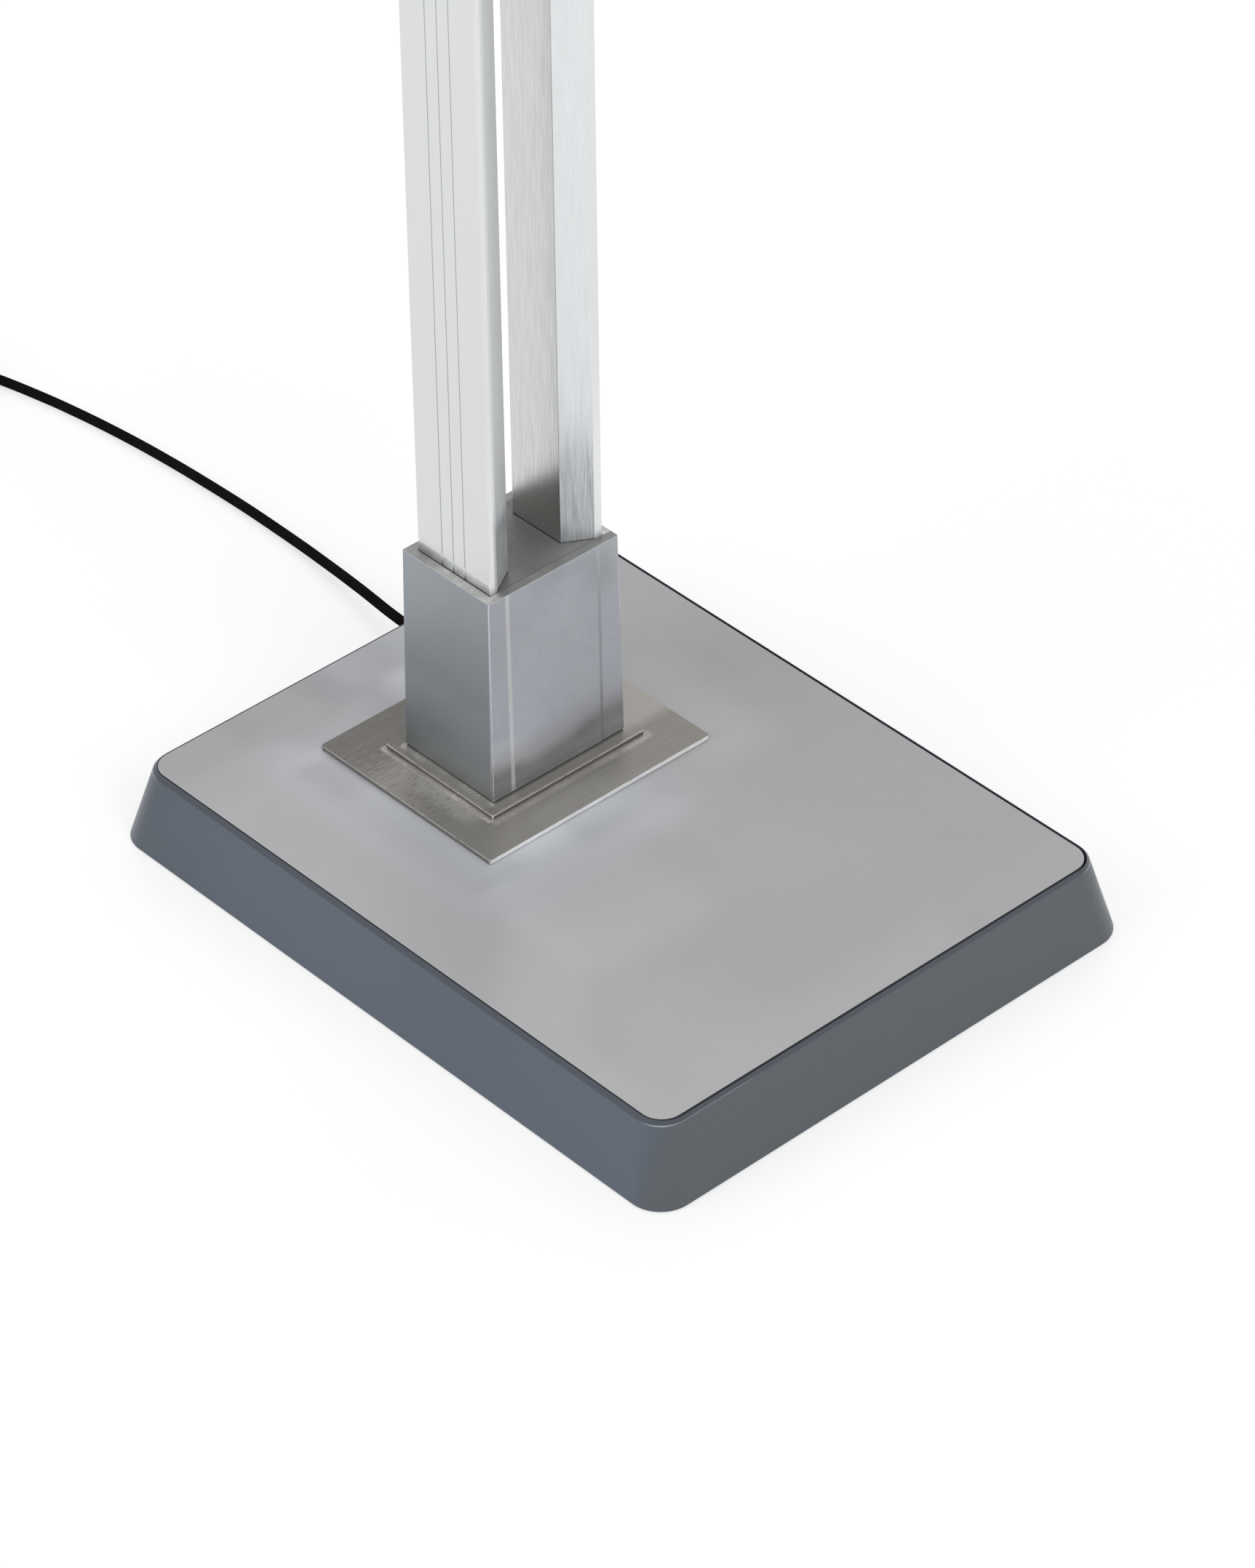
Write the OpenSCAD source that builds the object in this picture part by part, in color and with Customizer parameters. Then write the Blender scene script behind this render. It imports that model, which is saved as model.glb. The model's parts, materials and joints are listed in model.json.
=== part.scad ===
// Office floor lamp: a flared, weighted foot with a cover plate, two hollow aluminium uprights
// held side by side in a tapered collar, and a flat light head that tilts between their tops.
// Lengths are millimetres. +X runs along the foot's long free end, +Z is up, and the origin is
// the middle of the floor mat's underside.

/* [Foot] */
// Length of the foot at the floor
foot_l = 460; // [420:1:520]
// Width of the foot at the floor
foot_w = 362; // [330:1:400]
// Height of the cover plate above the floor
foot_h = 51; // [48:1:60]
// How far each side spreads from the shoulder down to the floor
foot_flare = 9.8; // [6:0.2:14]
// Corner radius of the foot at the floor
foot_corner_r = 21; // [18:1:26]
// Radius along the lower edge of the foot
foot_edge_r = 1.6; // [1:0.2:2.4]
// How far the sloped shoulder reaches out from the seam
shoulder_w = 4.2; // [3:0.2:6]
// How far the sloped shoulder drops
shoulder_drop = 3.6; // [2.4:0.2:3.8]
// Wall of the foot's rim
rim_t = 4; // [3:0.5:5]
// Air under the rim's lower edge
rim_lift = 1; // [0.6:0.2:1.6]
// Thickness of the cover plate
cover_t = 4; // [4:0.5:5]
// Corner radius of the cover plate
cover_corner_r = 14; // [10:1:16]
// Seam between the cover plate and the rim
cover_seam = 1; // [0.6:0.1:1.4]
// Width of the ledge that the cover plate lies on
ledge_w = 14; // [12:1:16]
// Thickness of that ledge
ledge_t = 4; // [3:0.5:5]
// Thickness of the ballast plate
ballast_t = 12; // [10:1:18]
// Room between the ballast plate and the ledge
ballast_room = 3; // [2:0.5:5]
// Thickness of the underside cover
underside_t = 2; // [1.5:0.5:3]
// Thickness of the floor mat
mat_t = 2; // [1.8:0.2:3]

/* [Column foot] */
// Place of the column behind the foot's middle
column_x = -85; // [-100:1:-60]
// Length of the lower stainless plate
lower_plate_l = 145.6; // [130:0.2:160]
// Width of the lower stainless plate
lower_plate_w = 168.3; // [150:0.1:180]
// Thickness of the lower stainless plate
lower_plate_t = 3; // [2:0.5:5]
// Length of the upper stainless plate
upper_plate_l = 92; // [86:1:110]
// Width of the upper stainless plate
upper_plate_w = 116.5; // [110:0.5:130]
// Thickness of the upper stainless plate
upper_plate_t = 2.2; // [2:0.2:4]
// Corner radius of both stainless plates
steel_corner_r = 1.6; // [1:0.2:3]
// Height of the collar
collar_h = 137.6; // [110:0.2:180]
// Wall of the collar at its top
collar_wall = 6; // [5:0.5:8]
// How far each side of the collar spreads from top to bottom
collar_taper = 1.6; // [0.8:0.2:3]
// Width of the fine lines down the collar's front
collar_line_w = 1.4; // [1:0.2:2]
// Depth of those lines
collar_line_d = 0.4; // [0.2:0.1:0.8]
// Place of those lines from the collar's middle
collar_line_y = 35; // [30:1:38]

/* [Uprights] */
// Height of the uprights' tops above the floor
upright_top = 1890; // [1600:5:2000]
// Length of an upright's section along the foot
upright_w = 60; // [56:1:66]
// Depth of an upright's section across the foot
upright_d = 22.3; // [20:0.1:26]
// Width of an upright's narrow inner face
upright_face_w = 40.2; // [36:0.2:44]
// Depth of the straight narrow sides
upright_side_d = 5.4; // [4.6:0.2:7]
// Gap between the two uprights
upright_gap = 39.4; // [36:0.2:44]
// Wall of the uprights
upright_wall = 2.5; // [2:0.1:3]
// Width of the grooves along an upright
groove_w = 1.2; // [0.8:0.1:2]
// Depth of those grooves
groove_d = 1; // [0.5:0.1:1.2]
// Distance between those grooves
groove_pitch = 9.5; // [8:0.5:11]
// Number of grooves on an upright
groove_count = 3; // [1:2:5]

/* [Control unit] */
// Height of the control unit's middle above the floor
control_z = 1100; // [900:5:1250]
// Height of the control unit
control_h = 110; // [96:1:140]
// Depth of the control unit along the foot
control_d = 34; // [30:1:40]
// Diameter of the push buttons
button_d = 16; // [14:0.5:18]
// Distance between the push buttons
button_pitch = 34; // [30:1:40]
// Travel of the push buttons
button_travel = 1.5; // [1:0.1:2]

/* [Light head] */
// Length of the light head
head_l = 680; // [600:5:800]
// Width of the light head
head_w = 320; // [280:5:360]
// Thickness of the light head
head_h = 36; // [34:1:44]
// Place of the head's middle in front of the column
head_x = 190; // [150:5:230]
// Corner radius of the light head
head_corner_r = 20; // [14:1:30]
// Wall of the head's frame
head_wall = 4; // [3:0.5:5]
// Height of the head's underside above the tilt axle
head_rise = 36; // [35:1:45]
// How far the head's rear compartment reaches in front of the column's middle
rear_room_front = 60; // [56:1:90]
// Thickness of the diffuser and the clear cover
glazing_t = 3; // [2:0.5:3]
// Thickness of the plate that carries the head
mount_t = 3; // [3:0.5:4]
// Tilt of the head either way, in degrees
tilt_limit = 15; // [5:1:16]

/* [Tilt joint] */
// Height of the tilt axle below the uprights' tops
axle_drop = 22; // [20:1:26]
// Diameter of the tilt axle
axle_d = 16; // [14:0.5:18]
// Bore along the tilt axle
axle_bore_d = 9; // [8:0.5:10]
// Running clearance round the axle
axle_play = 0.05; // [0.03:0.01:0.08]
// Thickness of the neck between the uprights
neck_w = 32; // [30:0.5:33]
// Diameter of the neck's boss
boss_d = 34; // [32:1:36]
// Diameter of the stop pin
stop_d = 6; // [5:0.5:7]

/* [Mains lead] */
// Diameter of the mains lead
cord_d = 6.4; // [6:0.1:6.8]
// Diameter of the plug's face
plug_d = 38; // [36:0.5:39]
// Length of the plug's pins
plug_pin_l = 19; // [18:0.5:20]
// Diameter of the plug's pins
plug_pin_d = 4.8; // [4.6:0.1:5]
// Distance between the plug's pins
plug_pin_pitch = 19; // [18:0.5:20]

/* [Hidden] */
$fn = 48;
// Segments in a plate's rounded corner
corner_steps = 8;
// Overrun of every cut
over = 1;
// Gap between neighbouring pieces of one body that slide together
fit = 0.3;
// Play round a screw or bolt
screw_play = 0.15;

// Foot
cover_l = foot_l - 2 * (foot_flare + shoulder_w + cover_seam);
cover_w = foot_w - 2 * (foot_flare + shoulder_w + cover_seam);
cover_z = foot_h - cover_t;
ledge_z = cover_z - ledge_t;
ballast_z = cover_z - ballast_t;
ballast_l = cover_l - 2 * (ledge_w + ballast_room);
ballast_w = cover_w - 2 * (ledge_w + ballast_room);
seam_corner_r = cover_corner_r + cover_seam;
shoulder_z = foot_h - shoulder_drop;
shoulder_corner_r = (seam_corner_r + foot_corner_r) / 2;
underside_top = mat_t + underside_t;
underside_room = 2;
underside_l = foot_l - 2 * (rim_t + underside_room);
underside_w = foot_w - 2 * (rim_t + underside_room);
underside_corner_r = foot_corner_r - rim_t;
mat_inset = 6;
spacer_d = 10;
spacer_inset = 26;
cover_screw_d = 4;
cover_screw_head_d = 7;
cover_screw_head_h = 1.4;
cover_screw_grip = 8;
rim_screw_d = 4;
rim_screw_head_d = 7;
rim_screw_head_h = 2.4;
rim_screw_grip = 2.5;
rim_screw_places = [-0.36, 0, 0.36];

// Column foot
lower_plate_top = foot_h + lower_plate_t;
column_z = lower_plate_top + upper_plate_t;
collar_top_z = column_z + collar_h;
upright_out = upright_gap / 2 + upright_d;
socket_l = upright_w + 2 * fit;
socket_w = 2 * (upright_out + fit);
collar_top_l = socket_l + 2 * collar_wall;
collar_top_w = socket_w + 2 * collar_wall;
bolt_d = 6;
bolt_head_d = 10;
bolt_head_h = 6;
bolt_grip = 24;
bolt_x = 18;
bolt_y = 11;
cable_d = 5;
cable_way_d = 9;
cable_y = upright_gap / 2 + upright_d / 2;
set_screw_d = 6;
set_screw_rows = [1 / 3, 2 / 3];

// Uprights
side_y = upright_out - upright_side_d;
inner_y = upright_gap / 2;
chamfer_x = (upright_w - upright_face_w) / 2;
chamfer_y = side_y - inner_y;
chamfer_len = sqrt(chamfer_x * chamfer_x + chamfer_y * chamfer_y);
cap_t = 2;
bridge_heights = [0.34, 0.8];
bridge_l = 34;
bridge_h = 40;
bridge_screw_d = 4;
bridge_screw_head_d = 8;
bridge_screw_head_h = 1;
bridge_screw_grip = 12;
bridge_screw_x = 14;

// Control unit
control_wall = 3;
control_plate_t = 3;
control_front = column_x + control_d / 2;
control_screw_d = 3;
button_play = 0.08;
button_flange_t = 1.2;
button_flange_w = 1.5;
button_proud = 2.5;
button_tail = 3;
board_t = 1.6;
switch_w = 10;
switch_h = 3;
plunger_d = 4;
button_names_z = [control_z + button_pitch / 2, control_z - button_pitch / 2];
button_rear = control_front - control_plate_t - fit - button_flange_t - button_tail;
plunger_tip = button_rear - button_travel - fit;
plunger_h = 1.5;
switch_front = plunger_tip - plunger_h;
board_front = switch_front - switch_h;

// Tilt joint
axle_z = upright_top - axle_drop;
axle_l = 2 * upright_out;
axle_window_d = 10;
axle_window_y = upright_out - upright_d / 2;
axle_cap_d = 22;
axle_cap_t = 2.5;
axle_cap_plug = 6;
bush_t = 2;
bush_flange_d = 26;
bush_flange_t = 2;
bush_l = 11;
washer_d = 28;
washer_t = (upright_gap - neck_w) / 2 - bush_flange_t;
stop_r = boss_d / 2 + 1.5;
stop_play_angle = 0.6;
stop_half_angle = tilt_limit + stop_play_angle + asin((stop_d / 2) / stop_r);
stop_floor_r = stop_r - stop_d / 2 - fit;
flange_l = 90;
flange_t = 8;

// Light head
head_z = axle_z + head_rise;
head_mid = column_x + head_x;
head_rear = head_mid - head_l / 2;
head_front = head_mid + head_l / 2;
room_l = head_l - 2 * head_wall;
room_w = head_w - 2 * head_wall;
room_r = head_corner_r - head_wall;
lip_t = 2;
lip_w = 5;
rail_t = 2.5;
tray_t = 2;
tray_z = head_z + head_h / 2;
glazing_z = head_z + head_h - glazing_t;
partition_t = 3;
partition_x = column_x + rear_room_front;
rear_room_l = partition_x - head_rear - head_wall;
front_room_l = head_front - head_wall - partition_x - partition_t;
led_margin = 12;
led_board_t = 1.6;
led_w = 5;
led_h = 0.8;
led_rows = 4;
led_columns = 10;
mount_z = head_z + lip_t;
lead_x = column_x;
driver_l = 150;
driver_w = 56;
driver_h = 22;
driver_y = 62;
head_terminal_l = 40;
head_terminal_w = 22;
head_terminal_h = 16;
head_terminal_y = -44;
sensor_d = 34;
sensor_bore_d = 26;
sensor_x = head_rear + 46;
sensor_proud = 3;
head_screw_d = 3;
head_screw_head_d = 5.5;
head_screw_head_h = 1.6;
neck_screw_d = 5;
neck_screw_head_d = 9;
neck_screw_head_h = 4;
neck_screw_x = 34;

// Mains lead
cord_r = cord_d / 2;
relief_d = 13;
relief_flange_d = 17;
relief_flange_t = 3;
relief_tip_d = 8.6;
relief_tip_x = -250;
relief_y = 62;
relief_z = 13.5;
relief_seat_x = rim_inner_x(relief_z + relief_flange_d / 2);
relief_root_x = relief_seat_x + relief_flange_t;
terminal_l = 56;
terminal_w = 40;
terminal_h = 20;
terminal_front = column_x + 16;
terminal_y = relief_y + 1;
cable_bend_r = 13;

// Points along the mains lead's free run, from the strain relief to the coil
cord_route = [
    [-250, 62, 13.5], [-256.4, 62, 13.5], [-270, 63.2, 12.9], [-285, 65.6, 11.5],
    [-299, 68, 10], [-313, 70.1, 8.6], [-328, 72.2, 7.1], [-344, 74.1, 5.7], [-360, 75.7, 4.6],
    [-376, 76.8, 3.8], [-393, 77.5, 3.3], [-411, 77.8, 3.2], [-428, 77.7, 3.2],
    [-446, 77.3, 3.2], [-463, 76.7, 3.2], [-479, 76, 3.2], [-496, 75, 3.2],
    [-512, 73.8, 3.2], [-528, 72.3, 3.2], [-544, 70.5, 3.2], [-560, 68.4, 3.2],
    [-575, 66.1, 3.2], [-590, 63.6, 3.2], [-604, 60.8, 3.2], [-619, 57.6, 3.2],
    [-633, 54.2, 3.2], [-648, 50, 3.2], [-662, 45.2, 3.2], [-676, 39.4, 3.2]
];
// The coil: where it lies, its outermost radius, and how its turns are laid
coil_x = -668;
coil_y = -10;
coil_outer_r = 46;
coil_pitch = 7.2;
coil_layer_pitch = 7.1;
coil_layers = 4;
coil_layer_turns = 2.16;
coil_climb_turns = 0.5;
coil_start_angle = 125;
coil_steps = 24;
coil_sides = 6;
cord_sides = 8;
coil_turns = coil_layers * coil_layer_turns + (coil_layers - 1) * coil_climb_turns;
coil_end_angle = coil_start_angle + 360 * coil_turns;
coil_top_z = cord_r + (coil_layers - 1) * coil_layer_pitch;
// Points along the tail from the coil to the plug, and the way that the plug points
tail_route = [[-716.2, -25, 24], [-718.6, -38, 22], [-721.2, -51, 20.2]];
tail_end = [-723.4, -63, 19.4];
plug_turn = 259;
plug_grip_l = 34;
plug_grip_d = 30;
plug_neck_d = 22;
plug_face_l = 14;
plug_relief_l = 24;
plug_relief_d = 12;
plug_relief_tip_d = 8.4;
plug_clip_w = 5;
plug_clip_t = 1.2;

// How far back the rim's inner wall stands at a height
function rim_inner_x(z) = rim_t - foot_l / 2 + foot_flare * (z - underside_top) / (ledge_z - underside_top);

// Vectors and paths
function unit(v) = v / norm(v);
function arc(cx, cy, r, a, b, n) = [for (i = [0:n]) let (t = a + (b - a) * i / n) [cx + r * cos(t), cy + r * sin(t)]];
function rounded_points(l, w, r) = concat(
    arc(l / 2 - r, w / 2 - r, r, 0, 90, corner_steps),
    arc(-l / 2 + r, w / 2 - r, r, 90, 180, corner_steps),
    arc(-l / 2 + r, -w / 2 + r, r, 180, 270, corner_steps),
    arc(l / 2 - r, -w / 2 + r, r, 270, 360, corner_steps)
);
function at_height(points, z) = [for (p = points) [p[0], p[1], z]];
function heading(path, i) = unit(path[min(i + 1, len(path) - 1)] - path[max(i - 1, 0)]);
function ring(path, i, r, sides, up) =
    let (t = heading(path, i), side = unit(cross(up, t)), lift = cross(t, side))
    [for (k = [0:sides - 1]) let (a = 360 * (k + 1 / 2) / sides) path[i] + r * (cos(a) * side + sin(a) * lift)];

// A plate with rounded corners, standing on its own underside
module plate(l, w, r, h) {
    linear_extrude(h)
        polygon(rounded_points(l, w, r));
}

// A solid through stacked rings of points, with as many points in each ring
module stacked(rings) {
    n = len(rings[0]);
    last = len(rings) - 1;
    points = [for (r = rings) each r];
    walls = [for (j = [0:last - 1], i = [0:n - 1]) each
        let (a = j * n + i, b = j * n + (i + 1) % n) [[a, a + n, b], [b, a + n, b + n]]];
    bottom = [for (i = [1:n - 2]) [0, i, i + 1]];
    top = [for (i = [1:n - 2]) [last * n, last * n + i + 1, last * n + i]];
    polyhedron(points, concat(bottom, walls, top));
}

// A round tube swept along a path, its rings turned so that one side faces up
module tube(path, r, sides, up = [0, 0, 1]) {
    stacked([for (i = [0:len(path) - 1]) ring(path, i, r, sides, up)]);
}

// A cylinder along +X or +Y from the point where it starts
module along_x(d, l) {
    rotate([0, 90, 0])
        cylinder(d = d, h = l);
}
module along_y(d, l) {
    rotate([-90, 0, 0])
        cylinder(d = d, h = l);
}

// The four corner places of a rectangle
module at_corners(x, y) {
    for (sx = [-1, 1], sy = [-1, 1])
        translate([sx * x, sy * y, 0])
            children();
}
module on_column() {
    translate([column_x, 0, 0])
        children();
}
module column_bolt_places() {
    on_column()
        at_corners(bolt_x, bolt_y)
            children();
}
module column_bolt_holes() {
    column_bolt_places()
        cylinder(d = bolt_d + 2 * screw_play, h = collar_top_z);
}
module column_cable_hole() {
    translate([column_x, cable_y, 0])
        cylinder(d = cable_way_d, h = collar_top_z);
}
module spacer_places() {
    at_corners(ballast_l / 2 - spacer_inset, ballast_w / 2 - spacer_inset)
        children();
}
module rim_screw_places() {
    for (s = [-1, 1], share = rim_screw_places) {
        translate([share * cover_l, s * (cover_w - ledge_w) / 2, 0])
            children();
        translate([s * (cover_l - ledge_w) / 2, share * cover_w, 0])
            children();
    }
}

module floor_mat() {
    color("#2b2c2e")
        difference() {
            plate(underside_l - 2 * mat_inset, underside_w - 2 * mat_inset, underside_corner_r, mat_t);
            spacer_places()
                translate([0, 0, -over])
                    cylinder(d = cover_screw_head_d + 2 * over, h = mat_t + 2 * over);
        }
}

module underside_cover() {
    color("#6d7278")
        difference() {
            translate([0, 0, mat_t])
                plate(underside_l, underside_w, underside_corner_r, underside_t);
            spacer_places()
                cylinder(d = cover_screw_d + 2 * screw_play, h = underside_top + over);
        }
}

module cover_spacers() {
    color("#b9bbbd")
        spacer_places()
            translate([0, 0, underside_top])
                difference() {
                    cylinder(d = spacer_d, h = ballast_z - underside_top);
                    translate([0, 0, -over])
                        cylinder(d = cover_screw_d + 2 * screw_play, h = ballast_z);
                }
}

module cover_screws() {
    color("#8f9296")
        spacer_places()
            translate([0, 0, mat_t - cover_screw_head_h]) {
                cylinder(d = cover_screw_head_d, h = cover_screw_head_h);
                cylinder(d = cover_screw_d, h = ballast_z - mat_t + cover_screw_head_h + cover_screw_grip);
            }
}

// The rim's outer skin: a rounded lower edge, a flared side and a sloped shoulder
module rim_skin() {
    edge = foot_edge_r;
    stacked([
        at_height(rounded_points(foot_l - 2 * edge, foot_w - 2 * edge, foot_corner_r - edge), rim_lift),
        at_height(rounded_points(foot_l - edge / 2, foot_w - edge / 2, foot_corner_r - edge / 4), rim_lift + edge / 3),
        at_height(rounded_points(foot_l, foot_w, foot_corner_r), rim_lift + edge),
        at_height(rounded_points(foot_l - 2 * foot_flare, foot_w - 2 * foot_flare, shoulder_corner_r), shoulder_z),
        at_height(rounded_points(cover_l + 2 * cover_seam, cover_w + 2 * cover_seam, seam_corner_r), foot_h)
    ]);
}

// The hollow under the rim, its wall thickness inside the skin
module rim_hollow() {
    low = 2 * rim_t;
    high = 2 * (foot_flare + rim_t);
    stacked([
        at_height(rounded_points(foot_l - low, foot_w - low, foot_corner_r - rim_t), rim_lift - over),
        at_height(rounded_points(foot_l - low, foot_w - low, foot_corner_r - rim_t), underside_top),
        at_height(rounded_points(foot_l - high, foot_w - high, shoulder_corner_r - rim_t), ledge_z)
    ]);
}

module foot_rim() {
    color("#656b75")
        difference() {
            rim_skin();
            rim_hollow();
            plate(cover_l - 2 * ledge_w, cover_w - 2 * ledge_w, cover_corner_r, foot_h);
            translate([0, 0, cover_z])
                plate(cover_l + 2 * cover_seam, cover_w + 2 * cover_seam, seam_corner_r, cover_t + over);
            rim_screw_places()
                cylinder(d = rim_screw_d + 2 * screw_play, h = foot_h);
            translate([-foot_l / 2 - over, relief_y, relief_z])
                along_x(relief_d + 2 * screw_play, rim_t + foot_flare + 2 * over);
        }
}

module rim_screws() {
    color("#8f9296")
        rim_screw_places()
            translate([0, 0, ledge_z - rim_screw_head_h]) {
                cylinder(d = rim_screw_head_d, h = rim_screw_head_h);
                cylinder(d = rim_screw_d, h = rim_screw_head_h + ledge_t + rim_screw_grip);
            }
}

module cover_plate() {
    color("#a6a7a9")
        difference() {
            translate([0, 0, cover_z])
                plate(cover_l, cover_w, cover_corner_r, cover_t);
            column_bolt_holes();
            column_cable_hole();
            rim_screw_places()
                cylinder(d = rim_screw_d + 2 * screw_play, h = cover_z + rim_screw_grip + screw_play);
        }
}

module ballast_plate() {
    color("#55585c")
        difference() {
            translate([0, 0, ballast_z])
                plate(ballast_l, ballast_w, cover_corner_r, ballast_t);
            column_bolt_holes();
            column_cable_hole();
            spacer_places()
                cylinder(d = cover_screw_d + 2 * screw_play, h = ballast_z + cover_screw_grip + screw_play);
        }
}

module column_bolts() {
    color("#9a9da1")
        column_bolt_places()
            translate([0, 0, ballast_z - bolt_head_h]) {
                cylinder(d = bolt_head_d, h = bolt_head_h);
                cylinder(d = bolt_d, h = bolt_head_h + column_z - ballast_z + bolt_grip);
            }
}

// The block under the ballast plate where the mains lead is wired to the column's cable
module terminal_block() {
    color("#d8d8d4")
        translate([terminal_front - terminal_l, terminal_y - terminal_w / 2, ballast_z - terminal_h])
            cube([terminal_l, terminal_w, terminal_h]);
}

module inlet_lead() {
    color("#1c1c1e")
        translate([relief_root_x, relief_y, relief_z])
            along_x(cord_d, terminal_front - terminal_l - relief_root_x);
}

module cord_relief() {
    tip = relief_root_x - relief_tip_x;
    color("#232325")
        translate([relief_tip_x, relief_y, relief_z])
            rotate([0, 90, 0])
                rotate_extrude()
                    polygon([
                        [0, 0], [relief_tip_d / 2, 0], [relief_d / 2, tip - 2 * relief_flange_t - rim_t - over],
                        [relief_d / 2, tip - relief_flange_t],
                        [relief_flange_d / 2, tip - relief_flange_t], [relief_flange_d / 2, tip], [0, tip]
                    ]);
}

// The coil: the turns spiral in and out by turns, and climb a layer where the spiral reverses
function layer_span() = coil_layer_turns + coil_climb_turns;
function layer_of(u) = min(coil_layers - 1, floor(u / layer_span()));
function within_layer(u) = u - layer_of(u) * layer_span();
function climb_share(u) = max(0, within_layer(u) - coil_layer_turns) / coil_climb_turns;
function inward(u) = min(within_layer(u), coil_layer_turns);
function reach_share(u) = climb_share(u) * (1 - climb_share(u)) * coil_climb_turns;
function coil_r(u) = coil_outer_r + (layer_of(u) % 2 == 0
    ? -coil_pitch * (inward(u) + reach_share(u))
    : -coil_pitch * (coil_layer_turns - inward(u) - reach_share(u)));
function smooth_share(s) = s * s * (3 - 2 * s);
function coil_z(u) = cord_r + coil_layer_pitch * (layer_of(u) + smooth_share(climb_share(u)));
function coil_point(u) = let (a = coil_start_angle + 360 * u)
    [coil_x + coil_r(u) * cos(a), coil_y + coil_r(u) * sin(a), coil_z(u)];
function coil_along(a) = [-sin(a), cos(a), 0];
coil_count = ceil(coil_turns * coil_steps);
coil_turns_path = [for (i = [0:coil_count]) coil_point(coil_turns * i / coil_count)];
coil_start = coil_turns_path[0] - cord_d * coil_along(coil_start_angle);
coil_end = coil_turns_path[coil_count] + cord_d * coil_along(coil_end_angle);
coil_path = concat([coil_start], coil_turns_path, [coil_end]);
// The least distance between turns that lie at least a third of a turn apart, less the lead's width
coil_apart = coil_steps / 3;
coil_gap = min([for (i = [0:coil_count], j = [i + coil_apart:coil_count])
    norm(coil_turns_path[i] - coil_turns_path[j])]) - cord_d;
echo(coil_gap = coil_gap, coil_turns = coil_turns);

cord_path = concat(cord_route, [coil_start]);
module mains_cord() {
    color("#161617")
        tube(cord_path, cord_r, cord_sides);
}

module cord_coil() {
    color("#161617")
        tube(coil_path, cord_r, coil_sides);
}

plug_heading = [cos(plug_turn), sin(plug_turn), 0];
tail_path = concat(
    [coil_end, coil_end + cord_d * coil_along(coil_end_angle)], tail_route,
    [tail_end - cord_d * plug_heading, tail_end]
);
module cord_tail() {
    color("#161617")
        tube(tail_path, cord_r, cord_sides);
}
function path_length(path, i = 1) = i < len(path) ? norm(path[i] - path[i - 1]) + path_length(path, i + 1) : 0;
echo(lead_length = path_length(cord_path) + path_length(coil_path) + path_length(tail_path));

// The plug's own axis: its middle line starts at the tail's end and runs on along its heading
module along_plug() {
    translate(tail_end)
        rotate([0, 0, plug_turn])
            rotate([0, 90, 0])
                children();
}
plug_face_z = plug_relief_l + plug_grip_l + plug_face_l;

module plug_body() {
    color("#1d1d1f")
        along_plug()
            difference() {
                rotate_extrude()
                    polygon([
                        [0, 0], [plug_relief_tip_d / 2, 0], [plug_relief_d / 2, plug_relief_l],
                        [plug_neck_d / 2, plug_relief_l], [plug_grip_d / 2, plug_relief_l + plug_grip_l],
                        [plug_d / 2, plug_relief_l + plug_grip_l], [plug_d / 2, plug_face_z], [0, plug_face_z]
                    ]);
                for (s = [-1, 1])
                    translate([s * (plug_d - plug_clip_t) / 2, 0, plug_face_z - plug_face_l / 2 + over / 2])
                        cube([plug_clip_t + 2 * fit, plug_clip_w + 2 * fit, plug_face_l + over], center = true);
            }
}

module plug_pins() {
    color("#c4c6c8")
        along_plug()
            for (s = [-1, 1])
                translate([0, s * plug_pin_pitch / 2, plug_face_z])
                    cylinder(d = plug_pin_d, h = plug_pin_l);
}

module plug_earth_clips() {
    color("#c8b27a")
        along_plug()
            for (s = [-1, 1])
                translate([s * (plug_d - plug_clip_t - fit) / 2, 0, plug_face_z - plug_face_l / 2])
                    cube([plug_clip_t, plug_clip_w, plug_face_l], center = true);
}

module steel_plate(l, w, t, z) {
    color("#8c8681")
        difference() {
            translate([column_x, 0, z])
                plate(l, w, steel_corner_r, t);
            column_bolt_holes();
            column_cable_hole();
        }
}
module lower_steel_plate() {
    steel_plate(lower_plate_l, lower_plate_w, lower_plate_t, foot_h);
}
module upper_steel_plate() {
    steel_plate(upper_plate_l, upper_plate_w, upper_plate_t, lower_plate_top);
}

function box_points(l, w) = [[l / 2, w / 2], [-l / 2, w / 2], [-l / 2, -w / 2], [l / 2, -w / 2]];

module collar() {
    color("#6f747b")
        difference() {
            on_column()
                stacked([
                    at_height(box_points(collar_top_l + 2 * collar_taper, collar_top_w + 2 * collar_taper), column_z),
                    at_height(box_points(collar_top_l, collar_top_w), collar_top_z)
                ]);
            on_column()
                translate([-socket_l / 2, -socket_w / 2, column_z - over])
                    cube([socket_l, socket_w, collar_h + 2 * over]);
            for (s = [-1, 1])
                translate([column_x + collar_top_l / 2 + collar_taper, s * collar_line_y, column_z])
                    rotate([0, -atan(collar_taper / collar_h), 0])
                        translate([-collar_line_d, -collar_line_w / 2, -over])
                            cube([over, collar_line_w, collar_h + 2 * over]);
            for (share = set_screw_rows)
                translate([column_x - socket_l / 2 - collar_wall - collar_taper - over, 0, column_z + share * collar_h])
                    along_x(set_screw_d + 2 * screw_play, collar_wall + collar_taper + 2 * over);
        }
}

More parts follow.
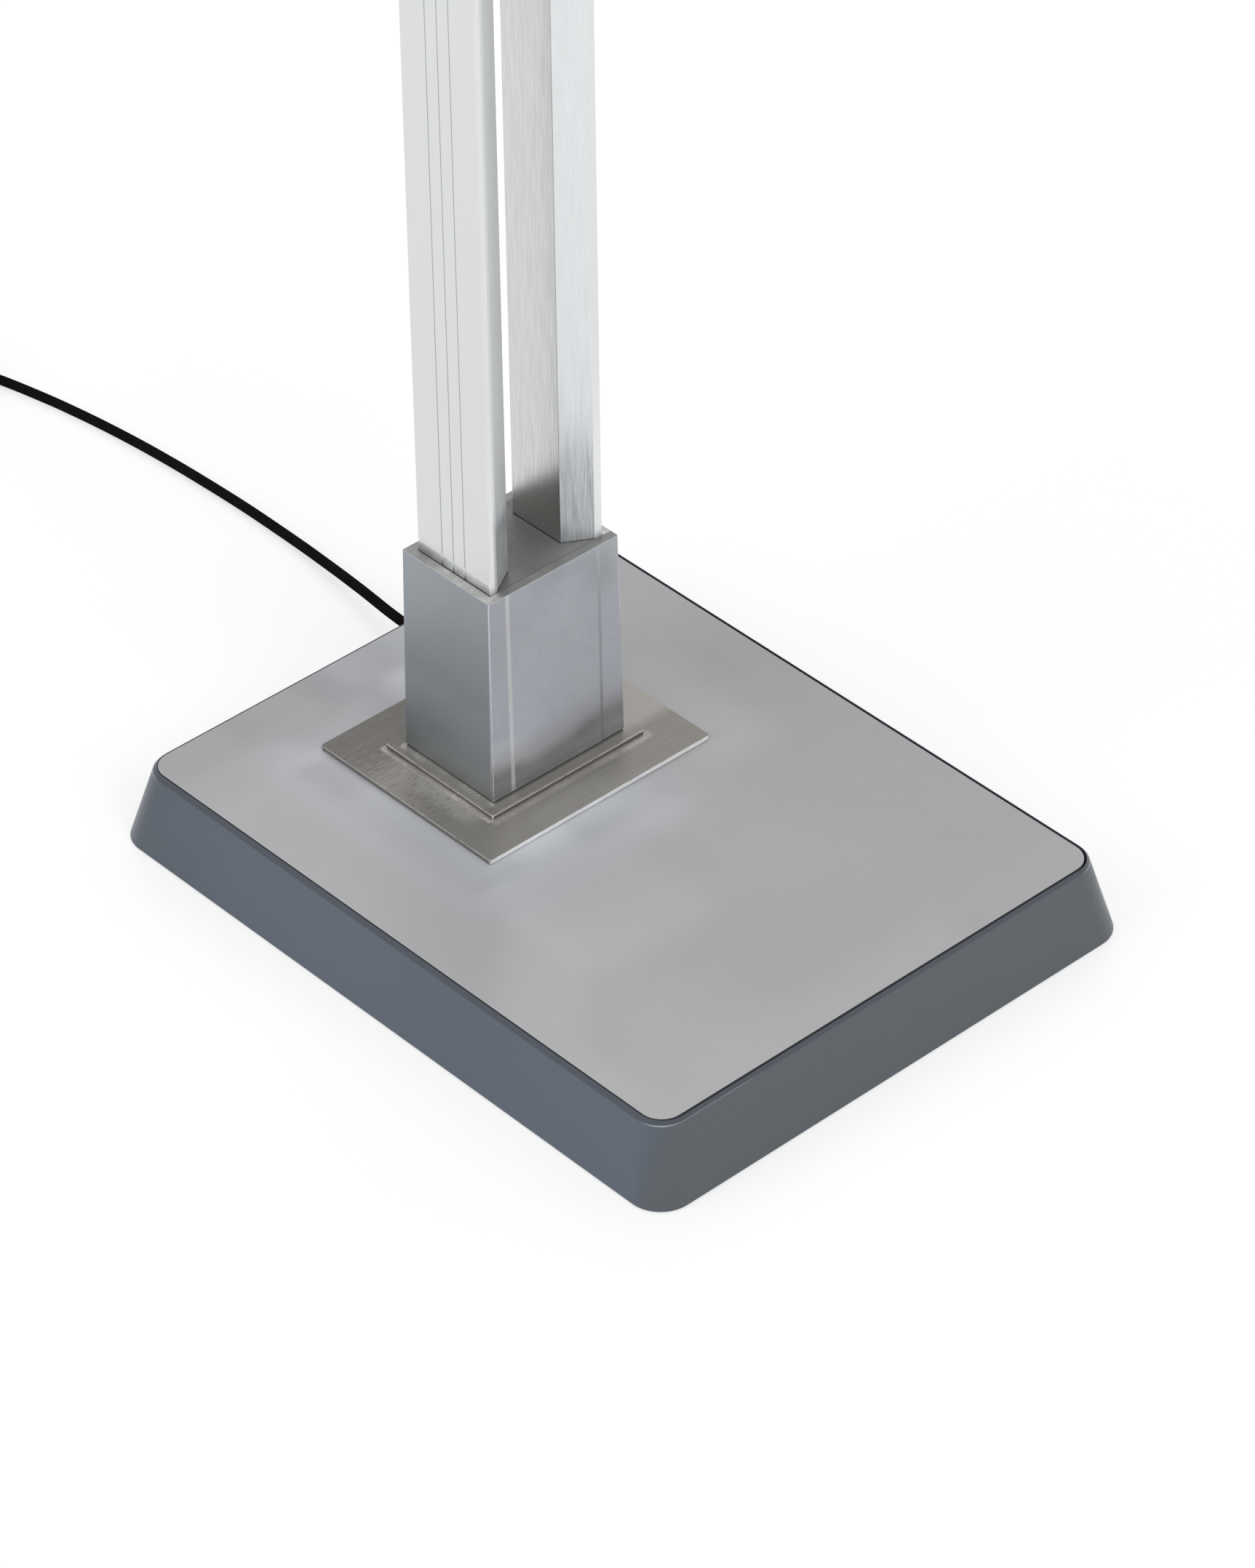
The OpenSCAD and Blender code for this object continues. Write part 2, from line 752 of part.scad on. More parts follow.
// The block that fills the collar between the uprights, drawn to their inner shape
core_gap = 0.5;
module column_core() {
    wide = side_y - core_gap;
    waist = inner_y - core_gap;
    face = upright_face_w / 2 - core_gap / 2;
    side = socket_l / 2;
    color("#3c3e42")
        difference() {
            translate([column_x, 0, column_z])
                linear_extrude(collar_h)
                    polygon([
                        [side, wide], [side - fit, wide], [face, waist], [-face, waist], [fit - side, wide], [-side, wide],
                        [-side, -wide], [fit - side, -wide], [-face, -waist], [face, -waist], [side - fit, -wide], [side, -wide]
                    ]);
            column_bolt_places()
                cylinder(d = bolt_d + 2 * screw_play, h = column_z + bolt_grip + screw_play);
        }
}

module set_screws() {
    color("#2a2a2c")
        for (share = set_screw_rows)
            translate([column_x - socket_l / 2 - collar_wall, 0, column_z + share * collar_h])
                along_x(set_screw_d, collar_wall);
}

// An upright's outline on the +Y side, and its hollow one wall inside
function upright_outline() = let (h = upright_w / 2, f = upright_face_w / 2)
    [[h, side_y], [h, upright_out], [-h, upright_out], [-h, side_y], [-f, inner_y], [f, inner_y]];
function slant_x(y) = upright_face_w / 2 + chamfer_x * (y - inner_y) / chamfer_y - upright_wall * chamfer_len / chamfer_y;
function slant_y(x) = inner_y + (x + upright_wall * chamfer_len / chamfer_y - upright_face_w / 2) * chamfer_y / chamfer_x;
function upright_hollow() = let (h = upright_w / 2 - upright_wall, low = inner_y + upright_wall, high = upright_out - upright_wall)
    [[h, slant_y(h)], [h, high], [-h, high], [-h, slant_y(h)], [-slant_x(low), low], [slant_x(low), low]];

module upright(side) {
    length = upright_top - column_z;
    color("#d4d5d6")
        difference() {
            translate([column_x, 0, column_z])
                mirror([0, side < 0 ? 1 : 0, 0])
                    difference() {
                        linear_extrude(length)
                            difference() {
                                polygon(upright_outline());
                                polygon(upright_hollow());
                            }
                        for (i = [0:groove_count - 1])
                            translate([(i - (groove_count - 1) / 2) * groove_pitch - groove_w / 2, upright_out - groove_d, -over])
                                cube([groove_w, groove_d + over, length + 2 * over]);
                    }
            translate([column_x, side * inner_y - (side > 0 ? over : upright_d + over), axle_z])
                along_y(axle_d + 2 * axle_play, upright_d + 2 * over);
            translate([column_x, side * inner_y - (side > 0 ? over : upright_wall + over), axle_z - stop_r])
                along_y(stop_d + 2 * axle_play, upright_wall + 2 * over);
            bridge_screw_places(side)
                along_y(bridge_screw_d + 2 * screw_play, upright_d + 2 * over);
            if (side > 0)
                translate([column_x, inner_y - over, control_z])
                    along_y(cable_way_d, upright_wall + 2 * over);
        }
}
module upright_left() {
    upright(1);
}
module upright_right() {
    upright(-1);
}

module upright_caps() {
    color("#4a4d51")
        for (s = [0, 1])
            translate([column_x, 0, upright_top])
                mirror([0, s, 0])
                    linear_extrude(cap_t)
                        polygon(upright_outline());
}

module bridges() {
    color("#b4b6b8")
        difference() {
            for (share = bridge_heights)
                translate([column_x - bridge_l / 2, -inner_y, share * upright_top - bridge_h / 2])
                    cube([bridge_l, 2 * inner_y, bridge_h]);
            for (side = [-1, 1])
                bridge_screw_places(side)
                    translate([0, side > 0 ? -bridge_screw_grip : 0, 0])
                        along_y(bridge_screw_d + 2 * screw_play, upright_d + 2 * over + bridge_screw_grip);
        }
}

// Where a bridge screw enters: just inside an upright's inner face, to be carried on along +Y
module bridge_screw_places(side) {
    for (share = bridge_heights, x = [-bridge_screw_x, bridge_screw_x])
        translate([column_x + x, side > 0 ? inner_y - over : -upright_out - over, share * upright_top])
            children();
}

module bridge_screws() {
    shank = upright_d + bridge_screw_grip - over;
    color("#8f9296")
        for (share = bridge_heights, x = [-bridge_screw_x, bridge_screw_x], s = [-1, 1])
            translate([column_x + x, s * upright_out, share * upright_top])
                rotate([s * 90, 0, 0]) {
                    cylinder(d = bridge_screw_d, h = shank);
                    translate([0, 0, -bridge_screw_head_h])
                        cylinder(d = bridge_screw_head_d, h = bridge_screw_head_h);
                }
}

module control_box() {
    y = inner_y;
    color("#34363a")
        difference() {
            translate([column_x - control_d / 2, -y, control_z - control_h / 2])
                cube([control_d - control_plate_t, 2 * y, control_h]);
            translate([column_x - control_d / 2 + control_wall, control_wall - y, control_z - control_h / 2 + control_wall])
                cube([control_d, 2 * (y - control_wall), control_h - 2 * control_wall]);
            translate([column_x, y - control_wall - over, control_z])
                along_y(cable_way_d, control_wall + 2 * over);
            control_screw_places()
                along_x(control_screw_d + 2 * screw_play, control_d);
        }
    color("#34363a")
        difference() {
            for (s = [-1, 1])
                translate([column_x - control_d / 2, -y, control_z + s * (control_h / 2 - 2 * control_wall) - control_wall])
                    cube([control_d - control_plate_t, 2 * y, 2 * control_wall]);
            control_screw_places()
                along_x(control_screw_d + 2 * screw_play, control_d);
        }
}

module control_screw_places() {
    for (s = [-1, 1])
        translate([control_front - control_plate_t - 2 * control_wall, 0, control_z + s * (control_h / 2 - 2 * control_wall)])
            children();
}

module control_plate() {
    color("#c9cacb")
        difference() {
            translate([control_front - control_plate_t, fit - inner_y, control_z - control_h / 2])
                cube([control_plate_t, 2 * (inner_y - fit), control_h]);
            for (z = button_names_z)
                translate([control_front - control_plate_t - over, 0, z])
                    along_x(button_d + 2 * button_play, control_plate_t + 2 * over);
            control_screw_places()
                along_x(control_screw_d + 2 * screw_play, control_d);
        }
}

module control_screws() {
    color("#8f9296")
        control_screw_places() {
            along_x(control_screw_d, 2 * control_wall + control_plate_t);
            translate([2 * control_wall + control_plate_t, 0, 0])
                along_x(2 * control_screw_d, control_screw_d / 3);
        }
}

module push_button(z) {
    color("#e4e5e6")
        translate([button_rear, 0, z]) {
            along_x(button_d - 2 * button_flange_w, button_tail);
            translate([button_tail, 0, 0])
                along_x(button_d + 2 * button_flange_w, button_flange_t);
            translate([button_tail, 0, 0])
                along_x(button_d, button_flange_t + fit + control_plate_t + button_proud);
        }
}
module power_button() {
    push_button(button_names_z[0]);
}
module dimmer_button() {
    push_button(button_names_z[1]);
}

// The board behind the buttons, with a switch and its plunger under each
module switch_board() {
    inside = inner_y - control_wall;
    color("#2f6b45") {
        translate([board_front - board_t, -inside, control_z - control_h / 2 + 3 * control_wall])
            cube([board_t, 2 * inside, control_h - 6 * control_wall]);
        for (z = button_names_z) {
            translate([board_front, -switch_w / 2, z - switch_w / 2])
                cube([switch_h, switch_w, switch_w]);
            translate([switch_front, 0, z])
                along_x(plunger_d, plunger_h);
        }
    }
}

// The cable inside the left upright, from the terminal block to the hollow axle
cable_steps = 5;
cable_low = ballast_z - terminal_h / 2;
cable_turn = cable_bend_r;
terminal_side = terminal_y - terminal_w / 2;
axle_turn = axle_window_y - axle_bore_d / 3;
cable_path = concat(
    [[column_x, terminal_side, cable_low]],
    [for (i = [0:cable_steps]) let (a = 90 * i / cable_steps)
        [column_x, cable_y + cable_turn - cable_turn * sin(a), cable_low + cable_turn - cable_turn * cos(a)]],
    [[column_x, cable_y, collar_top_z], [column_x, cable_y, control_z]],
    [for (i = [0:cable_steps]) let (a = 90 * i / cable_steps)
        [column_x, cable_y - cable_turn + cable_turn * cos(a), axle_z - cable_turn + cable_turn * sin(a)]],
    [[column_x, cable_d, axle_z]]
);
module column_cable() {
    color("#e8e8e6")
        tube(cable_path, cable_d / 2, cord_sides, [1, 0, 0]);
}

module tilt_axle() {
    color("#a9abae")
        translate([column_x, -axle_l / 2, axle_z])
            difference() {
                along_y(axle_d, axle_l);
                translate([0, -over, 0])
                    along_y(axle_bore_d, axle_l + 2 * over);
                translate([-axle_window_d / 2, axle_l / 2 - axle_window_d / 2, 0])
                    cube([axle_window_d, axle_window_d, axle_d]);
                translate([-axle_window_d / 2, axle_l / 2 + inner_y + upright_wall, -axle_d])
                    cube([axle_window_d, upright_d - 2 * upright_wall, axle_d]);
            }
}

module axle_caps() {
    color("#b9bbbd")
        for (s = [-1, 1])
            translate([column_x, s * upright_out, axle_z])
                rotate([s * -90, 0, 0]) {
                    cylinder(d = axle_cap_d, h = axle_cap_t);
                    translate([0, 0, -upright_wall])
                        cylinder(d = axle_bore_d - 2 * screw_play, h = upright_wall);
                }
}

module friction_washers() {
    color("#37393c")
        for (s = [-1, 1])
            translate([column_x, s > 0 ? inner_y - washer_t : -inner_y, axle_z])
                difference() {
                    along_y(washer_d, washer_t);
                    translate([0, -over, 0])
                        along_y(axle_d + 2 * axle_play, washer_t + 2 * over);
                }
}

module stop_pin() {
    color("#9a9da1")
        translate([column_x, -inner_y - upright_wall, axle_z - stop_r])
            along_y(stop_d, 2 * (inner_y + upright_wall));
}

// The neck: a boss on the axle with a notch for the stop pin, a stem and a flange under the head
module neck() {
    notch = 2 * boss_d;
    half = stop_half_angle;
    color("#8e9094")
        translate([column_x, 0, axle_z])
            difference() {
                union() {
                    translate([0, -neck_w / 2, 0])
                        along_y(boss_d, neck_w);
                    translate([-boss_d / 2, -neck_w / 2, 0])
                        cube([boss_d, neck_w, head_rise - flange_t / 2]);
                    translate([-flange_l / 2, -neck_w / 2, head_rise - flange_t])
                        cube([flange_l, neck_w, flange_t]);
                }
                translate([0, -neck_w / 2 - over, 0])
                    along_y(axle_d + 2 * bush_t, neck_w + 2 * over);
                cylinder(d = cable_way_d, h = head_rise + over);
                rotate([90, 0, 0])
                    linear_extrude(neck_w + 2 * over, center = true)
                        difference() {
                            polygon([[0, 0], [notch * sin(half), -notch * cos(half)], [-notch * sin(half), -notch * cos(half)]]);
                            circle(r = stop_floor_r);
                        }
                for (s = [-1, 1])
                    translate([s * neck_screw_x, 0, head_rise - flange_t - over])
                        cylinder(d = neck_screw_d + 2 * screw_play, h = flange_t + 2 * over);
            }
}

module tilt_bushes() {
    color("#b58a3c")
        for (s = [-1, 1])
            translate([column_x, 0, axle_z])
                mirror([0, s > 0 ? 0 : 1, 0])
                    difference() {
                        union() {
                            translate([0, neck_w / 2 - bush_l, 0])
                                along_y(axle_d + 2 * bush_t, bush_l);
                            translate([0, neck_w / 2, 0])
                                along_y(bush_flange_d, bush_flange_t - axle_play);
                        }
                        translate([0, neck_w / 2 - bush_l - over, 0])
                            along_y(axle_d + 2 * axle_play, bush_l + bush_flange_t + 2 * over);
                    }
}

module neck_screws() {
    color("#8f9296")
        for (s = [-1, 1])
            translate([column_x + s * neck_screw_x, 0, head_z - flange_t])
                {
                    cylinder(d = neck_screw_d, h = flange_t + lip_t + mount_t);
                    translate([0, 0, flange_t + lip_t + mount_t])
                        cylinder(d = neck_screw_head_d, h = neck_screw_head_h);
                }
}

// The plate in the head's rear floor that the neck is screwed to, with a pad down to the neck
module mount_plate() {
    l = rear_room_l - fit;
    w = room_w - 2 * fit;
    color("#5d6166")
        difference() {
            union() {
                translate([head_rear + head_wall + fit + l / 2, 0, mount_z])
                    plate(l, w, room_r - fit, mount_t);
                translate([column_x - flange_l / 2, -neck_w / 2, head_z])
                    cube([flange_l, neck_w, lip_t + over]);
            }
            translate([column_x, 0, head_z - over])
                cylinder(d = cable_way_d, h = lip_t + mount_t + 2 * over);
            for (s = [-1, 1])
                translate([column_x + s * neck_screw_x, 0, head_z - over])
                    cylinder(d = neck_screw_d + 2 * screw_play, h = lip_t + mount_t + 2 * over);
            translate([sensor_x, 0, head_z - over])
                cylinder(d = sensor_d - 2 * lip_t, h = lip_t + mount_t + 2 * over);
            head_screw_places()
                cylinder(d = head_screw_d + 2 * screw_play, h = head_z + head_h);
        }
}

// Where the lid, the tray and the plate are screwed along the frame's rails
module head_screw_places() {
    x0 = head_rear + head_wall + lip_w / 2 + fit;
    for (s = [-1, 1], x = [x0 + lip_w, partition_x - 2 * lip_w])
        translate([x, s * (room_w - lip_w) / 2, 0])
            children();
}

module head_rail(z, w, t) {
    translate([head_mid, 0, z])
        difference() {
            plate(room_l + head_wall, room_w + head_wall, room_r + head_wall / 2, t);
            translate([0, 0, -over])
                plate(room_l - 2 * w, room_w - 2 * w, room_r - w, t + 2 * over);
        }
}

module head_frame() {
    color("#a6a7a9")
        difference() {
            union() {
                translate([head_mid, 0, head_z])
                    difference() {
                        plate(head_l, head_w, head_corner_r, head_h);
                        translate([0, 0, -over])
                            plate(room_l, room_w, room_r, head_h + 2 * over);
                    }
                head_rail(head_z, lip_w, lip_t);
                head_rail(tray_z - rail_t, lip_w, rail_t);
                head_rail(glazing_z - rail_t, lip_w, rail_t);
            }
            head_screw_places()
                cylinder(d = head_screw_d + 2 * screw_play, h = head_z + head_h);
        }
}

module partition() {
    color("#5d6166")
        translate([partition_x, -room_w / 2 + lip_w + fit, mount_z])
            cube([partition_t, room_w - 2 * (lip_w + fit), glazing_z - mount_z]);
}

module front_panel(z, l, w, t, r) {
    translate([partition_x + partition_t + l / 2, 0, z])
        plate(l, w, r, t);
}

module heat_tray() {
    color("#b9bbbd")
        front_panel(tray_z, front_room_l - fit, room_w - 2 * fit, tray_t, room_r - fit);
}

// A board with rows of light-emitting packages on its lower or upper side
module led_board(z, side) {
    l = front_room_l - 2 * (lip_w + led_margin);
    w = room_w - 2 * (lip_w + led_margin);
    x = partition_x + partition_t + front_room_l / 2;
    color("#e9e9e2") {
        translate([x, 0, z])
            plate(l, w, led_w, led_board_t);
        for (i = [0:led_columns - 1], j = [0:led_rows - 1])
            translate([
                x + l * ((i + 1 / 2) / led_columns - 1 / 2) - led_w / 2,
                w * ((j + 1 / 2) / led_rows - 1 / 2) - led_w / 2,
                side < 0 ? z - led_h : z + led_board_t
            ])
                cube([led_w, led_w, led_h]);
    }
}
module lower_led_board() {
    led_board(tray_z - led_board_t, -1);
}
module upper_led_board() {
    led_board(tray_z + tray_t, 1);
}

module diffuser() {
    color("#f1f1ee")
        front_panel(mount_z, front_room_l - fit, room_w - 2 * fit, glazing_t, room_r - fit);
}

module clear_cover() {
    color("#dfe6e8")
        front_panel(glazing_z, front_room_l - fit, room_w - 2 * fit, glazing_t, room_r - fit);
}

module rear_lid() {
    l = rear_room_l + partition_t - 2 * fit;
    color("#a6a7a9")
        difference() {
            translate([head_rear + head_wall + fit + l / 2, 0, glazing_z])
                plate(l, room_w - 2 * fit, room_r - fit, glazing_t);
            head_screw_places()
                cylinder(d = head_screw_d + 2 * screw_play, h = head_z + 2 * head_h);
        }
}

module led_driver() {
    color("#e3e3df")
        translate([partition_x - driver_l - 4 * fit, driver_y, mount_z + mount_t])
            cube([driver_l, driver_w, driver_h]);
}

module head_terminal() {
    color("#d8d8d4")
        translate([column_x - head_terminal_l / 2, head_terminal_y, mount_z + mount_t])
            cube([head_terminal_l, head_terminal_w, head_terminal_h]);
}

// The lead from the axle's upper window through the neck to the head's terminal
lead_rise = mount_z + mount_t + head_terminal_h / 2;
lead_turn = 8;
head_lead_path = concat(
    [[lead_x, 0, axle_z + axle_bore_d / 3], [lead_x, 0, lead_rise - lead_turn]],
    [for (i = [1:cable_steps]) let (a = 90 * i / cable_steps)
        [lead_x, -lead_turn + lead_turn * cos(a), lead_rise - lead_turn + lead_turn * sin(a)]],
    [[lead_x, head_terminal_y + head_terminal_w, lead_rise]]
);
module head_lead() {
    color("#e8e8e6")
        tube(head_lead_path, cable_d / 2, cord_sides, [1, 0, 0]);
}

// The presence sensor: a ring let into the mount plate and a domed lens
module sensor_ring() {
    color("#3a3c40")
        translate([sensor_x, 0, head_z - sensor_proud])
            difference() {
                union() {
                    cylinder(d = sensor_d, h = sensor_proud + lip_t);
                    cylinder(d = sensor_d - 2 * lip_t - 2 * screw_play, h = sensor_proud + lip_t + mount_t + lip_t);
                }
                translate([0, 0, -over])
                    cylinder(d = sensor_bore_d, h = sensor_proud + lip_t + over);
            }
}

module sensor_lens() {
    r = sensor_bore_d / 2 - screw_play;
    color("#f1f1ee")
        translate([sensor_x, 0, head_z + lip_t])
            rotate([180, 0, 0])
                rotate_extrude()
                    intersection() {
                        circle(r = r);
                        square([r, r]);
                    }
}

module head_screws() {
    color("#8f9296")
        head_screw_places()
            translate([0, 0, head_z - head_screw_head_h]) {
                cylinder(d = head_screw_head_d, h = head_screw_head_h);
                cylinder(d = head_screw_d, h = head_screw_head_h + head_h - glazing_t / 3);
            }
}

floor_mat();
underside_cover();
cover_spacers();
cover_screws();
foot_rim();
rim_screws();
cover_plate();
ballast_plate();
column_bolts();
terminal_block();
inlet_lead();
cord_relief();
mains_cord();
cord_coil();
cord_tail();
plug_body();
plug_pins();
plug_earth_clips();
lower_steel_plate();
upper_steel_plate();
collar();
column_core();
set_screws();
upright_left();
upright_right();
upright_caps();
bridges();
bridge_screws();
control_box();
control_plate();
control_screws();
switch_board();
power_button();
dimmer_button();
column_cable();
tilt_axle();
axle_caps();
friction_washers();
stop_pin();
neck();
tilt_bushes();
neck_screws();
mount_plate();
head_frame();
partition();
heat_tray();
lower_led_board();
upper_led_board();
diffuser();
clear_cover();
rear_lid();
led_driver();
head_terminal();
head_lead();
sensor_ring();
sensor_lens();
head_screws();
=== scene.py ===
"""Dresses an office floor lamp: fine shapes, finishes, the mains lead and a white studio.

Lengths are metres, in the frame's own axes: +X runs along the foot's long free end and +Z is up.
"""

import json
import math

import bmesh
import bpy
import numpy as np
from mathutils import Matrix, Vector
from mathutils.geometry import tessellate_polygon


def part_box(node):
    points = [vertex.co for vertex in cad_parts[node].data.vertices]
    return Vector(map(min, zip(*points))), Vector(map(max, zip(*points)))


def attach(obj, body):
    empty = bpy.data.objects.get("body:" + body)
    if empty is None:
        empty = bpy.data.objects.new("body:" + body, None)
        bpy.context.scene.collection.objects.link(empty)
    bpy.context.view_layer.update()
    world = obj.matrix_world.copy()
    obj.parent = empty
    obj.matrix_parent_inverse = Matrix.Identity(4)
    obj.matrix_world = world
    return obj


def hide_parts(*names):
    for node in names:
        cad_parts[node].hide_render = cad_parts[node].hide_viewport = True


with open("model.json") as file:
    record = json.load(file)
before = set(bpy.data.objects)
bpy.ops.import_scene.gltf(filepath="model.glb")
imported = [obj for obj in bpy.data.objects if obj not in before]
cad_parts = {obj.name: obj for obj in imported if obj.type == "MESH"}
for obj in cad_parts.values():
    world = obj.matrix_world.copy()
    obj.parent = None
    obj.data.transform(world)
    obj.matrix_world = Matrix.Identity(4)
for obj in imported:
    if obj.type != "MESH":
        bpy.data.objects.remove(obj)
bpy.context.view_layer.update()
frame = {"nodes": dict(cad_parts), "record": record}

MM = 0.001
record = frame["record"]
BODY = {node: body for body, nodes in record["behaviour"]["bodies"].items() for node in nodes}
SLOT = {part["node"]: part["material_slot"] for part in record["subparts"]}


def add_object(name, data):
    """A new object of the scene."""
    made = bpy.data.objects.new(name, data)
    bpy.context.scene.collection.objects.link(made)
    return made


# The photograph's camera
PHOTO_HEIGHT = 2156
FOCAL_PX = 8800
SENSOR = 36
EYE = Vector((2100.6, -1897.7, 2297.5)) * MM
AIM = Vector((-61.1, 64.5, 0.7)) * MM
ROLL = math.radians(-0.68)


def photograph_camera():
    """A camera at the photograph's place, turned to look from EYE to AIM and rolled a little."""
    data = bpy.data.cameras.new("photograph_camera")
    data.sensor_width = SENSOR
    data.lens = SENSOR * FOCAL_PX / PHOTO_HEIGHT
    data.clip_start = 0.05
    data.clip_end = 60
    camera = add_object("photograph_camera", data)
    turn = (AIM - EYE).to_track_quat("-Z", "Y").to_matrix().to_4x4()
    camera.matrix_world = Matrix.Translation(EYE) @ turn @ Matrix.Rotation(ROLL, 4, "Z")
    bpy.context.scene.camera = camera


# Vectors and outlines


def unit(v):
    """Vectors divided by their lengths."""
    return v / np.linalg.norm(v, axis=-1, keepdims=True)


def corners(node):
    """Lowest and highest corner of a CAD node at rest."""
    return np.array(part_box(node))


def extent(node):
    """A CAD node's lowest and highest corner, middle and size at rest."""
    low, high = corners(node)
    return low, high, (low + high) / 2, high - low


def arc(centre, radius, start, end, steps):
    """Points centre + radius (cos a, sin a), with the angle a going from start to end in degrees."""
    a = np.radians(np.linspace(start, end, steps + 1))
    return np.asarray(centre) + radius * np.stack([np.cos(a), np.sin(a)], -1)


def rounded_rectangle(length, width, radius, centre=(0, 0), steps=10):
    """A rectangle whose corners are quarter circles, counterclockwise from its +X +Y corner."""
    x, y = length / 2 - radius, width / 2 - radius
    quarters = [
        arc((sx * x, sy * y), radius, turn, turn + 90, steps)
        for sx, sy, turn in ((1, 1, 0), (-1, 1, 90), (-1, -1, 180), (1, -1, 270))
    ]
    return np.concatenate(quarters) + centre


def circle(radius, centre=(0, 0), steps=40):
    """A whole circle, counterclockwise."""
    return arc(centre, radius, 0, 360 - 360 / steps, steps - 1)


def soften(points, radius, steps=3):
    """A closed outline with every corner turned into an arc.

    The arc starts radius / tan(half the corner's angle) from the corner, its centre lies
    radius / sin(half the angle) along the bisector, and a guard point a quarter of a radius
    further along each side keeps the flat beside it shaded flat.
    """
    points = np.asarray(points, float)
    radius = np.broadcast_to(radius, len(points)).astype(float)[:, None]
    back = unit(np.roll(points, 1, 0) - points)
    ahead = unit(np.roll(points, -1, 0) - points)
    half = np.arccos(np.clip((back * ahead).sum(1), -1, 1))[:, None] / 2
    reach = radius / np.tan(half)
    centre = points + unit(back + ahead) * radius / np.sin(half)
    start = points + back * reach - centre
    way = -np.sign(back[:, 0] * ahead[:, 1] - back[:, 1] * ahead[:, 0])[:, None]
    a = way * (np.pi - 2 * half) * np.linspace(0, 1, steps + 1)
    x = start[:, :1] * np.cos(a) - start[:, 1:] * np.sin(a)
    y = start[:, :1] * np.sin(a) + start[:, 1:] * np.cos(a)
    turned_corner = centre[:, None] + np.stack([x, y], -1)
    guards = [(points + way_out * (reach + radius / 4))[:, None] for way_out in (back, ahead)]
    return np.concatenate([guards[0], turned_corner, guards[1]], 1).reshape(-1, 2)


def inward(outline):
    """For each point of a counterclockwise outline, the step that moves both its sides in by one."""
    before = unit(outline - np.roll(outline, 1, 0))[:, ::-1] * [-1, 1]
    after = unit(np.roll(outline, -1, 0) - outline)[:, ::-1] * [-1, 1]
    both = before + after
    return 2 * both / (both**2).sum(1, keepdims=True)


def edge_rows(low, high, edge, steps=4):
    """Rows (inset, height) up a wall whose two edges are quarter circles, with guard rows."""
    a = np.linspace(0, np.pi / 2, steps + 1)
    guard = 1.25 * edge
    foot = np.stack([edge * (1 - np.sin(a)), low + edge * (1 - np.cos(a))], -1)
    head = np.stack([edge * (1 - np.cos(a)), high - edge * (1 - np.sin(a))], -1)
    flats = [[[guard, low]], foot, [[0, low + guard], [0, high - guard]], head, [[guard, high]]]
    return np.concatenate(flats)


def rings(outline, rows):
    """One ring for each row (inset, height): the outline moved inwards by the inset."""
    rows = np.asarray(rows, float)
    flat = outline + rows[:, :1, None] * inward(outline)
    height = np.broadcast_to(rows[:, 1:, None], (*flat.shape[:2], 1))
    return np.concatenate([flat, height], -1)


def lifted(outline, height):
    """An outline's points at a height."""
    return np.column_stack([outline, np.full(len(outline), height)])


# Shapes: each is an array of points and a list of faces


def walls(count, columns, closed=False):
    """Four-sided faces between neighbouring rings of points, and round from the last to the first."""
    r = np.arange(count if closed else count - 1)[:, None]
    c = np.arange(columns)[None, :]
    low, high = r * columns, (r + 1) % count * columns
    ahead = (c + 1) % columns
    return np.stack([low + c, low + ahead, high + ahead, high + c], -1).reshape(-1, 4).tolist()


def solid(outer, openings=(), pockets=()):
    """A solid between the stacked rings of its outer wall, bottom to top.

    An opening is a stack of rings right through it. A pocket is one that starts at its own floor.
    The flat faces at the ends are cut into triangles round them.
    """
    stacks = [outer, *openings, *pockets]
    firsts = np.cumsum([0] + [s.shape[0] * s.shape[1] for s in stacks])
    points = np.concatenate([s.reshape(-1, 3) for s in stacks])
    faces = []
    for first, stack in zip(firsts, stacks):
        faces += [[first + i for i in f] for f in walls(stack.shape[0], stack.shape[1])]
    ends = [(range(len(stacks)), -1), (range(1 + len(openings)), 0)]
    for members, row in ends:
        loops, names = [], []
        for m in members:
            count, columns = stacks[m].shape[:2]
            start = firsts[m] + (row % count) * columns
            names += range(start, start + columns)
            loops.append([Vector(p) for p in stacks[m][row]])
        if len(loops) == 1:
            faces.append(names if row else names[::-1])
        else:
            faces += [[names[i] for i in f] for f in tessellate_polygon(loops)]
    for m in range(1 + len(openings), len(stacks)):
        faces.append(list(range(firsts[m], firsts[m] + stacks[m].shape[1])))
    return points, faces


def loop_solid(stack):
    """A ring-shaped solid: the last ring of points joins the first."""
    return stack.reshape(-1, 3), walls(stack.shape[0], stack.shape[1], closed=True)


def turned(rows, steps, pockets=()):
    """A shape turned about +Z: one circle for each row (radius, height)."""
    stack = [lifted(circle(radius, steps=steps), height) for radius, height in rows]
    return solid(np.stack(stack), pockets=pockets)


def round_rim(radius, top, edge, steps, end=np.pi / 2):
    """Rows (radius, height) over the rounded rim of a turned shape, up to an angle in radians."""
    a = np.linspace(0, end, steps + 1)
    return np.stack([radius - edge * (1 - np.cos(a)), top - edge * (1 - np.sin(a))], -1)


def hex_pocket(across, floor, top):
    """The rings of a hexagonal socket that opens upwards, with slightly rounded corners."""
    points = circle(across / math.sqrt(3), steps=6)
    return rings(soften(points, across / 20, 4), [(0, floor), (0, top)])


def placed(shape, origin, z, x=(1, 0, 0)):
    """A shape moved so that its own origin, +X and +Z come to the given place and directions."""
    x, z = np.asarray(x, float), np.asarray(z, float)
    axes = np.stack([x, np.cross(z, x), z])
    return shape[0] @ axes + np.asarray(origin), shape[1]


